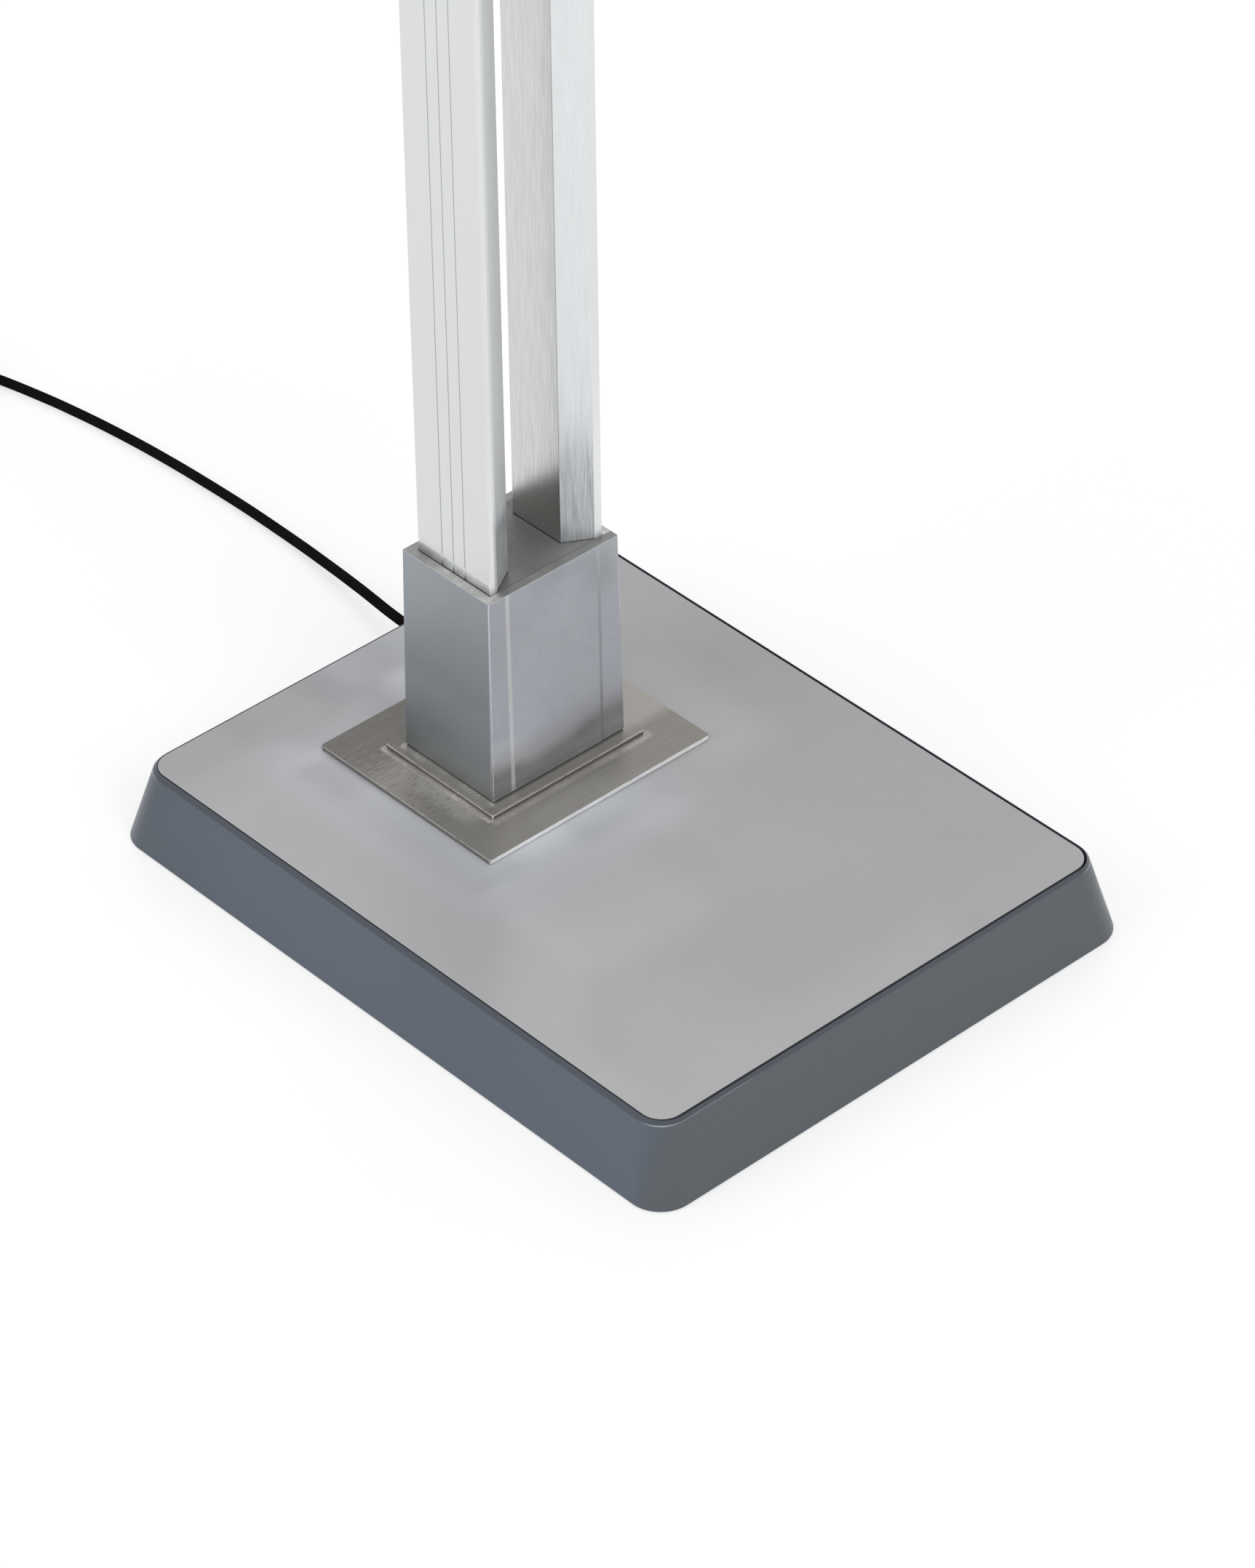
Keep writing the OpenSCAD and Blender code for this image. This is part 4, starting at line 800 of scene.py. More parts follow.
FINISH = {
    "cover_paint": cover_finish(),
    "lid_paint": powder_coat("lid_paint", COVER_GREY, 0.42).done(),
    "rim_paint": rim_finish(),
    "brushed_steel": stainless_plate(),
    "collar_paint": collar_finish(),
    "core_grey": core_finish(),
    "anodised_aluminium": drawn_aluminium(),
    "plain_aluminium": brushed_metal("plain_aluminium", (0.66, 0.665, 0.67), 0.34, along=2),
    "dark_aluminium": brushed_metal("dark_aluminium", (0.12, 0.125, 0.14), 0.42, along=0),
    "zinc_steel": plated("zinc_steel", (0.52, 0.53, 0.55), 0.34),
    "black_steel": plated("black_steel", (0.05, 0.05, 0.055), 0.42),
    "ballast_steel": powder_coat("ballast_steel", (0.10, 0.105, 0.115), 0.6).done(),
    "mat_rubber": rubber("mat_rubber", (0.022, 0.022, 0.024), 0.75),
    "cord_rubber": rubber("cord_rubber", (0.010, 0.0085, 0.009), 0.5, gloss=0.0),
    "plug_rubber": rubber("plug_rubber", (0.010, 0.010, 0.0105), 0.50, gloss=0.2),
    "pin_metal": plated("pin_metal", (0.72, 0.71, 0.69), 0.22),
    "clip_brass": plated("clip_brass", (0.66, 0.50, 0.22), 0.30),
    "bush_bronze": plated("bush_bronze", (0.50, 0.34, 0.15), 0.40),
    "friction_plastic": moulded("friction_plastic", (0.035, 0.038, 0.044), 0.55),
    "terminal_plastic": moulded("terminal_plastic", (0.70, 0.70, 0.66), 0.45),
    "cable_sheath": moulded("cable_sheath", (0.76, 0.76, 0.75), 0.40),
    "dark_plastic": moulded("dark_plastic", (0.040, 0.043, 0.050), 0.48, texture=26e-6),
    "button_plastic": moulded("button_plastic", (0.72, 0.73, 0.74), 0.38),
    "board_green": circuit_board(),
    "led_white": light_board(),
    "opal_acrylic": opal_sheet(),
    "clear_acrylic": clear_sheet(),
}
SYMBOL_INK = moulded("symbol_ink", (0.06, 0.065, 0.075), 0.5)
HEAD_ALUMINIUM = brushed_metal("head_aluminium", (0.70, 0.718, 0.708), 0.36, along=0, fine=1.5)
# Painted highlight and shade on the uprights' ends
UPRIGHT_LAND_PAINTED_LIGHT = upright_land_painted_light()
# Painted highlight on the plates' bevels
PLATE_BEVEL_HIGHLIGHT = plate_bevel_highlight()
# Painted shade on the plates' sides, with a painted reflection on one
PLATE_SIDE_SHADE_AND_REFLECTION = plate_side_shade_and_reflection()
COLLAR_LAND = collar_land()
# Painted highlight on the collar's edges, with small nicks
EDGE_HIGHLIGHT_AND_NICKS = edge_highlight_and_nicks()
# Painted highlight on the cover's edge and painted shade on its sides
COVER_EDGE_HIGHLIGHT = powder_coat("cover_edge_highlight", (0.60, 0.60, 0.61), 0.4).done()
COVER_SIDE_SHADE = powder_coat("cover_side_shade", (0.105, 0.11, 0.12), 0.6).done()
SEAM_SHADE = rubber("seam_shade", (0.022, 0.023, 0.025), 0.7, gloss=0.2)


# Mains lead: the free run, the coil and the tail, along the frame's own solids
CORD_D = 6.4 * MM
CORD_ROUTE = np.array([
    (-250, 62, 13.5), (-256.4, 62, 13.5), (-270, 63.2, 12.9), (-285, 65.6, 11.5),
    (-299, 68, 10), (-313, 70.1, 8.6), (-328, 72.2, 7.1), (-344, 74.1, 5.7), (-360, 75.7, 4.6),
    (-376, 76.8, 3.8), (-393, 77.5, 3.3), (-411, 77.8, 3.2), (-428, 77.7, 3.2),
    (-446, 77.3, 3.2), (-463, 76.7, 3.2), (-479, 76, 3.2), (-496, 75, 3.2),
    (-512, 73.8, 3.2), (-528, 72.3, 3.2), (-544, 70.5, 3.2), (-560, 68.4, 3.2),
    (-575, 66.1, 3.2), (-590, 63.6, 3.2), (-604, 60.8, 3.2), (-619, 57.6, 3.2),
    (-633, 54.2, 3.2), (-648, 50, 3.2), (-662, 45.2, 3.2), (-676, 39.4, 3.2),
]) * MM  # fmt: skip
TAIL_ROUTE = np.array([(-716.2, -25, 24), (-718.6, -38, 22), (-721.2, -51, 20.2)]) * MM
TAIL_END = np.array((-723.4, -63, 19.4)) * MM
PLUG_TURN = math.radians(259)
PLUG_HEADING = np.array((math.cos(PLUG_TURN), math.sin(PLUG_TURN), 0))
COIL_CENTRE = np.array((-668, -10)) * MM
COIL_OUTER_R = 46 * MM
COIL_PITCH = 7.2 * MM
COIL_LAYER_PITCH = 7.1 * MM
COIL_LAYERS = 4
COIL_LAYER_TURNS = 2.16
COIL_CLIMB_TURNS = 0.5
COIL_START = math.radians(125)
COIL_STEPS = 24


def coil_line():
    """The coil's centreline.

    In each layer the radius falls or grows by one pitch a turn. In the half turn between layers
    it swings on a little and back, and the height climbs one layer by 3 s^2 - 2 s^3.
    """
    turns = COIL_LAYERS * COIL_LAYER_TURNS + (COIL_LAYERS - 1) * COIL_CLIMB_TURNS
    count = math.ceil(turns * COIL_STEPS)
    u = turns * np.arange(count + 1) / count
    layer = np.minimum(COIL_LAYERS - 1, np.floor(u / (COIL_LAYER_TURNS + COIL_CLIMB_TURNS)))
    within = u - layer * (COIL_LAYER_TURNS + COIL_CLIMB_TURNS)
    climb = np.maximum(0, within - COIL_LAYER_TURNS) / COIL_CLIMB_TURNS
    wound = np.minimum(within, COIL_LAYER_TURNS) + climb * (1 - climb) * COIL_CLIMB_TURNS
    steps_in = np.where(layer % 2 == 0, wound, COIL_LAYER_TURNS - wound)
    radius = COIL_OUTER_R - COIL_PITCH * steps_in
    height = CORD_D / 2 + COIL_LAYER_PITCH * (layer + climb**2 * (3 - 2 * climb))
    angle = COIL_START + 2 * np.pi * u
    x = COIL_CENTRE[0] + radius * np.cos(angle)
    y = COIL_CENTRE[1] + radius * np.sin(angle)
    return np.stack([x, y, height], -1), angle


def lead_line():
    """The lead's whole centreline, from the strain relief's tip to the plug."""
    coil, angle = coil_line()
    along = np.stack([-np.sin(angle), np.cos(angle), np.zeros_like(angle)], -1) * CORD_D
    into = coil[0] - along[0]
    out = coil[-1] + along[-1]
    last = [TAIL_END - PLUG_HEADING * CORD_D, TAIL_END]
    return np.concatenate([CORD_ROUTE, [into], coil, [out, out + along[-1]], TAIL_ROUTE, last])


def mains_lead():
    """One open curve with a round section, smooth through every point of its line."""
    line = lead_line()
    curve = bpy.data.curves.new("mains_lead", "CURVE")
    curve.dimensions = "3D"
    curve.bevel_depth = CORD_D / 2
    curve.bevel_resolution = 4
    curve.resolution_u = 3
    curve.use_fill_caps = True
    spline = curve.splines.new("BEZIER")
    spline.bezier_points.add(len(line) - 1)
    along = unit(np.gradient(line, axis=0))
    third = np.linalg.norm(np.diff(line, axis=0), axis=1)[:, None] / 3
    back, ahead = np.concatenate([third[:1], third]), np.concatenate([third, third[-1:]])
    sets = {"co": line, "handle_left": line - along * back, "handle_right": line + along * ahead}
    for name, values in sets.items():
        spline.bezier_points.foreach_set(name, values.astype(np.float32).ravel())
    made = add_object("mains_lead", curve)
    curve.materials.append(FINISH["cord_rubber"])
    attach(made, "stand")
    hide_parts("mains_cord", "cord_coil", "cord_tail")
    return made


def strain_relief():
    """A tapered grommet: ribs whose gaps grow shallower to the tip, a smooth root and a flange."""
    low, _, middle, size = extent("cord_relief")
    flange, root, lip = 3 * MM, 15 * MM, 0.6 * MM
    tip_r, root_r, flange_r = 4.3 * MM, 6.5 * MM, size[1] / 2
    length = size[0]
    body = length - flange
    ribbed = body - root
    gap_count, gap_w = 6, 1.0 * MM
    h = np.linspace(0, ribbed, 8 * gap_count + 1)
    radius = tip_r + (root_r - tip_r) * h / ribbed
    pitch = ribbed / (gap_count + 0.5)
    in_gap = np.clip((gap_w - np.abs((h % pitch) - pitch / 2)) / (gap_w / 2), 0, 1)
    radius = radius - in_gap * (radius - CORD_D / 2 - 0.5 * MM) * 0.75
    ribs = np.stack([radius, h], -1)
    rows = np.concatenate([
        [(CORD_D / 2 + 0.3 * MM, 0), (tip_r - 0.3 * MM, 0)], ribs[1:],
        [(root_r, body - 0.2 * MM), (root_r, body)],
        [(flange_r - lip, body), (flange_r, body + lip), (flange_r, length)],
    ])  # fmt: skip
    return dress("cord_relief", facing_x(turned(rows, 40), (low[0], *middle[1:])))


def plug_parts():
    """The moulded plug with its ribbed grip, two pins with rounded ends, and two earth clips."""
    relief, grip, face, plug_r, edge = 24 * MM, 34 * MM, 14 * MM, 19 * MM, 1.2 * MM
    end = relief + grip
    h = np.linspace(relief, end, 61)
    share = (h - relief) / grip
    swell = 11 * MM + 4 * MM * share**1.3 + 2.2 * MM * np.sin(np.pi * share) ** 2
    ribs = 0.45 * MM * np.clip(np.sin(2 * np.pi * share * 9), -0.3, 1) * np.sin(np.pi * share)
    taper = np.linspace(0, relief, 37)
    sleeve = 4.2 * MM + 1.8 * MM * taper / relief
    notch = np.clip(np.sin(2 * np.pi * taper / (3.4 * MM)) - 0.3, 0, 1) * 0.9 * MM
    rows = np.concatenate([
        np.stack([sleeve - notch, taper], -1), np.stack([swell - ribs, h], -1),
        [(plug_r - edge, end + 0.2 * MM), (plug_r, end + edge), (plug_r, end + face - edge)],
        [(plug_r - edge * 0.3, end + face - edge * 0.3), (plug_r - edge, end + face)],
    ])  # fmt: skip
    x = (0, 0, 1)
    body = dress("plug_body", placed(turned(rows, 56), TAIL_END, PLUG_HEADING, x))
    side = np.cross(PLUG_HEADING, x)
    pin_r, pin_l, tip, pin_off = 2.4 * MM, 19 * MM, 1.6 * MM, 9.5 * MM
    pin = turned([(pin_r, 0), *round_rim(pin_r, pin_l, tip, 4)], 28)
    front = TAIL_END + PLUG_HEADING * (end + face)
    shapes = [placed(pin, front + side * way * pin_off, PLUG_HEADING, x) for way in (-1, 1)]
    pins = dress("plug_pins", joined(shapes))
    return [body, pins, frame["nodes"]["plug_earth_clips"]]


# Foot

LIP_R = 15.4 * MM
FOLD_FIT = np.array([-2.0, -1.05, -0.6, 0.95]) * MM
LIP_FIT = np.array([-1.25, -1.4, 0.0, 1.1]) * MM


def foot_rim():
    """The flared rim: its cross-section, rounded at every edge, carried round the foot.

    As in the photograph, the fold and the lip lie a little further in along +X and -Y. Each has
    its own fit: a change of length and of width, and the place of its middle.
    """
    low, high, _, (length, width, _) = extent("foot_rim")
    cover_low, cover_high = corners("cover_plate")
    seam, shoulder_w = 1.35 * MM, 2.55 * MM
    wall, ledge_w, ledge_t = 4 * MM, 14 * MM, 4 * MM
    inset = high[0] - cover_high[0] - seam
    flare = inset - shoulder_w
    ledge_z, top, foot = cover_low[2], high[2], low[2]
    ledge_in = inset + seam + ledge_w
    section = np.array([
        (0, foot - 0.5 * MM), (flare, top - SHOULDER_DROP), (inset, top), (inset, ledge_z),
        (ledge_in, ledge_z), (ledge_in, ledge_z - ledge_t), (flare + wall, ledge_z - ledge_t),
        (wall, foot + 3 * MM), (wall, foot - 0.5 * MM),
    ])  # fmt: skip
    radii = np.array([1.2, 2.0, 0.3, 0.2, 0.4, 0.4, 1.0, 1.0, 0.5]) * MM
    path = soften(section * [-1, 1], radii, 5) * [-1, 1]
    at, corner_r = [0, flare, inset, ledge_in], [21 * MM, 18 * MM, LIP_R, 14 * MM]
    radius = np.interp(path[:, 0], at, corner_r)
    fits = [np.interp(path[:, 0], at, [0, *pair, 0]) for pair in zip(FOLD_FIT, LIP_FIT)]
    stack = [
        lifted(rounded_rectangle(length - 2 * i + fit[0], width - 2 * i + fit[1], r, fit[2:], 14), z)
        for (i, z), r, fit in zip(path, radius, np.stack(fits, -1))
    ]
    rim = dress("foot_rim", loop_solid(np.array(stack)))
    centre, _ = faces_of(rim)
    half = (np.array([length, width]) + LIP_FIT[:2]) / 2 - inset
    over = np.maximum(np.abs(centre[:, :2] - LIP_FIT[2:]) - (half - LIP_R), 0)
    refinish(rim, (np.hypot(*over.T) < LIP_R - 0.15 * MM, SEAM_SHADE))


def slab(box, radius, edge, steps=10, **cuts):
    """A flat plate that fills a box, with rounded corners and edges."""
    low, high = box
    middle, size = (low + high) / 2, high - low
    outline = rounded_rectangle(size[0], size[1], radius, middle[:2], steps)
    return solid(rings(outline, edge_rows(low[2], high[2], edge)), **cuts)


def cover_plate():
    """The cover plate: a thin edge painted lighter as a highlight, over sides painted dark as shade down
    in the seam.

    Its +X and -Y sides are drawn in a little, to the places that they have in the photograph.
    """
    end_in, near_in, corner_r, edge = 0.5 * MM, 0.95 * MM, 14 * MM, 0.3 * MM
    box = corners("cover_plate") + [(0, near_in, 0), (-end_in, 0, 0)]
    made = dress("cover_plate", slab(box, corner_r, edge, steps=14))
    _, normal = faces_of(made)
    side = np.abs(normal[:, 2]) < 0.4
    bevel = (normal[:, 2] > 0.4) & (normal[:, 2] < 0.97)
    # Sides painted dark as shade, the bevel painted light as a highlight
    refinish(made, (side, COVER_SIDE_SHADE), (bevel, COVER_EDGE_HIGHLIGHT))


def collar_outline(length, width, centre):
    """The collar's outline: a rectangle whose +X side has a shallow middle panel."""
    x, y = length / 2, width / 2
    slope, depth = 1.0 * MM, 0.18 * MM
    points = [
        (x - depth, -y), (x - depth, -NEAR_LINE - slope), (x, slope - NEAR_LINE),
        (x, FAR_LINE - slope), (x - depth, FAR_LINE + slope), (x - depth, y), (-x, y), (-x, -y),
    ]  # fmt: skip
    radii = np.array([0.4, 1, 1, 1, 1, 0.4, 0.4, 0.4]) * MM
    return soften(points, radii) + centre


def collar():
    """The tapered sleeve: outlines stacked from the foot to the land, round an oblong socket."""
    low, high, middle, size = extent("collar")
    up_low, up_high = corners("upright_left")
    hub = middle[:2]
    taper, edge, fit, mouth = 1.6 * MM, 0.3 * MM, 0.3 * MM, 0.25 * MM
    rows = edge_rows(low[2], high[2], edge, 3)
    relief = np.array([(0.9, 0), (0.9, 0.9), (0.15, 1.05), (0, 1.25)]) * MM + [0, low[2]]
    rows = np.concatenate([relief, rows[rows[:, 1] > low[2] + 2 * MM]])
    stack = []
    for inset, z in rows:
        lean = taper * (z - low[2]) / size[2]
        outline = collar_outline(size[0] - 2 * lean, size[1] - 2 * lean, hub)
        stack.append(lifted(outline + inset * inward(outline), z))
    socket_l = up_high[0] - up_low[0] + 2 * fit
    socket_w = 2 * (up_high[1] + fit)
    hole = rounded_rectangle(socket_l, socket_w, 0.4 * MM, hub, 3)
    rows = [(-mouth, low[2]), (0, low[2] + mouth), (0, high[2] - mouth), (-mouth, high[2])]
    made = dress("collar", solid(np.array(stack), openings=[rings(hole, rows)]))
    centre, normal = faces_of(made)
    flat = np.abs(normal).max(1)
    outer = np.abs(centre[:, :2] - hub).max(1) > socket_l / 2 + 1 * MM
    top = centre[:, 2] > high[2] - 0.5 * MM
    upright_edge = (flat < 0.96) & (np.abs(normal[:, 2]) < 0.2) & outer
    land = (normal[:, 2] > 0.9) & top
    # The outer edges get the painted highlight
    highlit_edges = outer & ((top & ~land & (flat < 0.98)) | (upright_edge & (normal[:, 1] < -0.4)))
    foot = centre[:, 2] < low[2] + 1.0 * MM
    refinish(made, (land, COLLAR_LAND), (highlit_edges, EDGE_HIGHLIGHT_AND_NICKS), (foot, SEAM_SHADE))


def column_core():
    """The block between the uprights, drawn to their inner shape, with eased top edges."""
    low, high, middle, size = extent("column_core")
    gap, edge = 0.35 * MM, 0.1 * MM
    x, y = (size[0] - gap) / 2, high[1]
    face, waist = FACE_HALF - gap / 2, corners("upright_left")[0][1] - gap
    side = x - 0.3 * MM
    right = [(x, -y), (x, y), (side, y), (face, waist)]
    left = [(-face, waist), (-side, y), (-x, y), (-x, -y), (-side, -y), (-face, -waist)]
    outline = np.array([*right, *left, (face, -waist), (side, -y)]) + [middle[0], 0]
    radii = np.array([0.12, 0.12, 0.1, 0.6, 0.6, 0.1] * 2) * MM
    outline = soften(outline, radii, 2)
    rows = [(0, low[2]), (0, high[2] - edge), (edge * 0.3, high[2] - edge * 0.3), (edge, high[2])]
    dress("column_core", solid(rings(outline, rows)), smooth=20)


def steel_plates():
    """The two stainless plates, with small bevels painted bright as highlights and sides painted dark as
    shade.
    """
    for node in ("lower_steel_plate", "upper_steel_plate"):
        made = dress(node, slab(corners(node), 1.6 * MM, 0.25 * MM, steps=4))
        centre, normal = faces_of(made)
        side = np.abs(normal[:, 2]) < 0.2
        corner = side & (np.abs(normal).max(1) < 0.97)
        bevel = (normal[:, 2] > 0.2) & (normal[:, 2] < 0.97)
        foot = centre[:, 2] < corners(node)[0][2] + 0.3 * MM
        # Bevels get the painted highlight, sides the painted shade, the foot line the seam shade
        refinish(made, (side, PLATE_SIDE_SHADE_AND_REFLECTION), (bevel | corner, PLATE_BEVEL_HIGHLIGHT), (foot, SEAM_SHADE))


# Uprights

GROOVES = np.array([9.5, 0, -9.5]) * MM
GROOVE_W = 0.75 * MM
GROOVE_D = 0.6 * MM
FACE_HALF = 20.1 * MM
SIDE_D = 5.4 * MM
BRIDGE_H = 40 * MM


def upright_outline(half, inner, outer, grooved=True):
    """An upright's section on its +Y side, with three grooves along its outer face."""
    side, w = outer - SIDE_D, GROOVE_W / 2
    cuts = [
        (g + dx, outer - dy)
        for g in GROOVES
        for dx, dy in ((w, 0), (w, GROOVE_D), (-w, GROOVE_D), (-w, 0))
        if grooved
    ]
    radii = [0.6, 0.5, *[0.2, 0.12, 0.12, 0.2] * (len(cuts) // 4), 0.5, 0.6, 0.6, 0.6]
    points = [(half, side), (half, outer), *cuts, (-half, outer), (-half, side)]
    points += [(-FACE_HALF, inner), (FACE_HALF, inner)]
    return soften(points, np.array(radii) * MM)


def mirrored(outline, way):
    """The outline for the +Y upright, or its mirror image for the -Y one, still counterclockwise."""
    return outline if way > 0 else (outline * [1, -1])[::-1]


def uprights():
    """The two hollow extrusions, each a grooved outline carried up round its own hollow."""
    wall = 2.5 * MM
    for node, way in (("upright_left", 1), ("upright_right", -1)):
        low, high, middle, size = extent(node)
        centre, half = np.array([middle[0], 0]), size[0] / 2
        near, far = sorted((abs(low[1]), abs(high[1])))
        outline = mirrored(upright_outline(half, near, far), way) + centre
        slant, shoulder = wall * 1.2, far - SIDE_D + wall * 0.2
        points = [
            (half - wall, shoulder), (half - wall, far - wall), (wall - half, far - wall),
            (wall - half, shoulder), (slant - FACE_HALF, near + wall), (FACE_HALF - slant, near + wall),
        ]  # fmt: skip
        hollow = mirrored(soften(points, 0.4 * MM), way) + centre
        ends = [(0, low[2]), (0, high[2])]
        made = dress(node, solid(rings(outline, ends), openings=[rings(hollow, ends)]))
        place, normal = faces_of(made)
        end = (np.abs(normal[:, 0]) > 0.9) & (np.abs(place[:, 0] - centre[0]) > half - 0.1 * MM)
        # The ends get the painted-light finish
        refinish(made, (end, UPRIGHT_LAND_PAINTED_LIGHT))


def upright_caps():
    """The end caps, with softened upper edges."""
    low, high, middle, size = extent("upright_caps")
    near, half = corners("upright_left")[0][1], size[0] / 2
    centre = np.array([middle[0], 0])
    shapes = []
    for way in (1, -1):
        outline = mirrored(upright_outline(half, near, high[1], grooved=False), way) + centre
        shapes.append(solid(rings(outline, edge_rows(low[2], high[2], 0.45 * MM))))
    dress("upright_caps", joined(shapes))


def bridges():
    """The two cross blocks between the uprights, with eased edges and a shallow waist line."""
    low, high, centre, size = extent("bridges")
    edge, line = 0.8 * MM, 0.5 * MM
    outline = soften(np.array([(1, -1), (1, 1), (-1, 1), (-1, -1)]) * size[:2] / 2, edge) + centre[:2]
    shapes = []
    for foot in (low[2], high[2] - BRIDGE_H):
        middle = foot + BRIDGE_H / 2
        rows = edge_rows(foot, foot + BRIDGE_H, edge)
        groove = [(0, middle - 2 * line), (line, middle - line)]
        groove += [(line, middle + line), (0, middle + 2 * line)]
        half = len(rows) // 2
        rows = np.concatenate([rows[:half], groove, rows[half:]])
        shapes.append(solid(rings(outline, rows)))
    dress("bridges", joined(shapes))


def screw(radius, height, socket, shank_r, shank_l):
    """A screw: a low round head with a hexagonal socket above its origin, and its shank below."""
    edge = 0.35 * height
    rim = [(radius - 0.3 * edge, height - 0.3 * edge), (radius - edge, height)]
    rows = [(radius, 0), (radius, height - edge), *rim]
    head = turned(rows, 32, pockets=[hex_pocket(socket, edge, height)])
    return joined([head, turned([(shank_r, -shank_l), (shank_r, 0)], 16)])


def bridge_screws():
    """Eight low-headed screws on the uprights' outer faces, each with its shank."""
    _, high, middle, size = extent("bridge_screws")
    face = corners("upright_left")[1][1]
    head_r = 4 * MM
    shape = screw(head_r, high[1] - face, 2.5 * MM, 2 * MM, 33 * MM)
    across = size[0] / 2 - head_r
    bridge_low, bridge_high = corners("bridges")
    shapes = [
        placed(shape, (x, way * face, z), (0, way, 0))
        for z in (bridge_low[2] + BRIDGE_H / 2, bridge_high[2] - BRIDGE_H / 2)
        for x in (middle[0] - across, middle[0] + across)
        for way in (-1, 1)
    ]
    dress("bridge_screws", joined(shapes))


def set_screws():
    """Two grub screws in the collar's rear wall, with hexagonal sockets."""
    low, high, middle, size = extent("set_screws")
    length, r, socket, edge = size[0], 3 * MM, 3 * MM, 0.4 * MM
    rows = [(r, 0), (r, length - edge), (r - edge, length)]
    shape = turned(rows, 28, pockets=[hex_pocket(socket, length - socket, length)])
    spots = [(high[0], middle[1], z) for z in (low[2] + r, high[2] - r)]
    dress("set_screws", joined([placed(shape, spot, (-1, 0, 0), (0, 1, 0)) for spot in spots]))


# Control unit, built with its face towards +X

BUTTONS = ("power_button", "dimmer_button")


def facing_x(shape, origin):
    """A shape drawn face up, turned so that its face looks along +X and its own +Y points up."""
    return placed(shape, origin, (1, 0, 0), (0, 1, 0))


def control_unit():
    """The moulded box, its aluminium face with two bores, and the screws that hold it."""
    low, _, middle, size = extent("control_box")
    wall = 3 * MM
    outline = rounded_rectangle(size[1], size[2], 1.2 * MM, steps=5)
    inside = rounded_rectangle(size[1] - 2 * wall, size[2] - 2 * wall, 1 * MM, steps=5)
    pocket = rings(inside, [(0, wall), (0, size[0])])
    box = solid(rings(outline, edge_rows(0, size[0], 0.8 * MM)), pockets=[pocket])
    dress("control_box", facing_x(box, (low[0], *middle[1:])))

    low, high, middle, size = extent("control_plate")
    t, lip, bore_r = size[0], 0.5 * MM, 8.1 * MM
    rows = [(0, 0), (0, t - lip), (-0.3 * lip, t - 0.3 * lip), (-lip, t)]
    bores = [
        rings(circle(bore_r, (0, corners(node)[:, 2].mean() - middle[2]), 48), rows)
        for node in BUTTONS
    ]
    outline = rounded_rectangle(size[1], size[2], 2.4 * MM, steps=6)
    plate = solid(rings(outline, edge_rows(0, t, lip)), openings=bores)
    dress("control_plate", facing_x(plate, (low[0], *middle[1:])))

    face, head_r = high[0], 3 * MM
    low, high = corners("control_screws")
    shape = screw(head_r, high[0] - face, 2 * MM, 1.5 * MM, face - low[0])
    spots = [(face, 0, z) for z in (low[2] + head_r, high[2] - head_r)]
    dress("control_screws", joined([facing_x(shape, spot) for spot in spots]))


def push_buttons():
    """The buttons: a tail and flange behind the face, and a dished, soft-edged top."""
    r, edge, sunk = 8 * MM, 0.8 * MM, 0.7 * MM
    tail, flange_t, step = 3 * MM, 1.2 * MM, 1.5 * MM
    for node in BUTTONS:
        low, _, middle, size = extent(node)
        length = size[0]
        dish_r = np.linspace(r - edge, 0.4 * MM, 12)
        dish = length - sunk * (1 - (dish_r / (r - edge)) ** 2) ** 1.5
        rows = np.concatenate([
            [(r - step, 0), (r - step, tail), (r + step, tail), (r + step, tail + flange_t)],
            [(r, tail + flange_t), (r, length - 1.25 * edge)],
            round_rim(r, length, edge, 4, 1.4), np.stack([dish_r, dish], -1),
        ])  # fmt: skip
        dress(node, facing_x(turned(rows, 56), (low[0], *middle[1:])))


def strip(points, width, thickness):
    """A flat, open strip of constant width along a line of points, as a thin solid."""
    points = np.asarray(points, float)
    along = unit(np.gradient(points, axis=0))
    side = along[:, ::-1] * [-1, 1] * width / 2
    outline = np.concatenate([points - side, (points + side)[::-1]])
    return solid(np.stack([lifted(outline, 0), lifted(outline, thickness)]))


def button_marks():
    """The generic signs in the dishes: a broken ring with a bar, and a disc with rays."""
    ink, t, sunk = 0.55 * MM, 0.25 * MM, 0.75 * MM
    ring = strip(arc((0, 0), 2.6 * MM, 125, 415, 40), ink, t)
    bar = strip([(0, 1.0 * MM), (0, 2.2 * MM), (0, 3.3 * MM)], ink, t)
    along = np.array([[2.1], [2.6], [3.2]]) * MM
    rays = [strip(along * way, ink, t) for way in circle(1, steps=8)]
    disc = solid(rings(circle(1.2 * MM, steps=24), [(0, 0), (0, t)]))
    for node, shapes in zip(BUTTONS, ([ring, bar], [disc, *rays])):
        _, high, middle, _ = extent(node)
        shape = facing_x(joined(shapes), (high[0] - sunk, *middle[1:]))
        piece(node.replace("button", "sign"), shape, SYMBOL_INK, BODY[node])


# Tilt joint


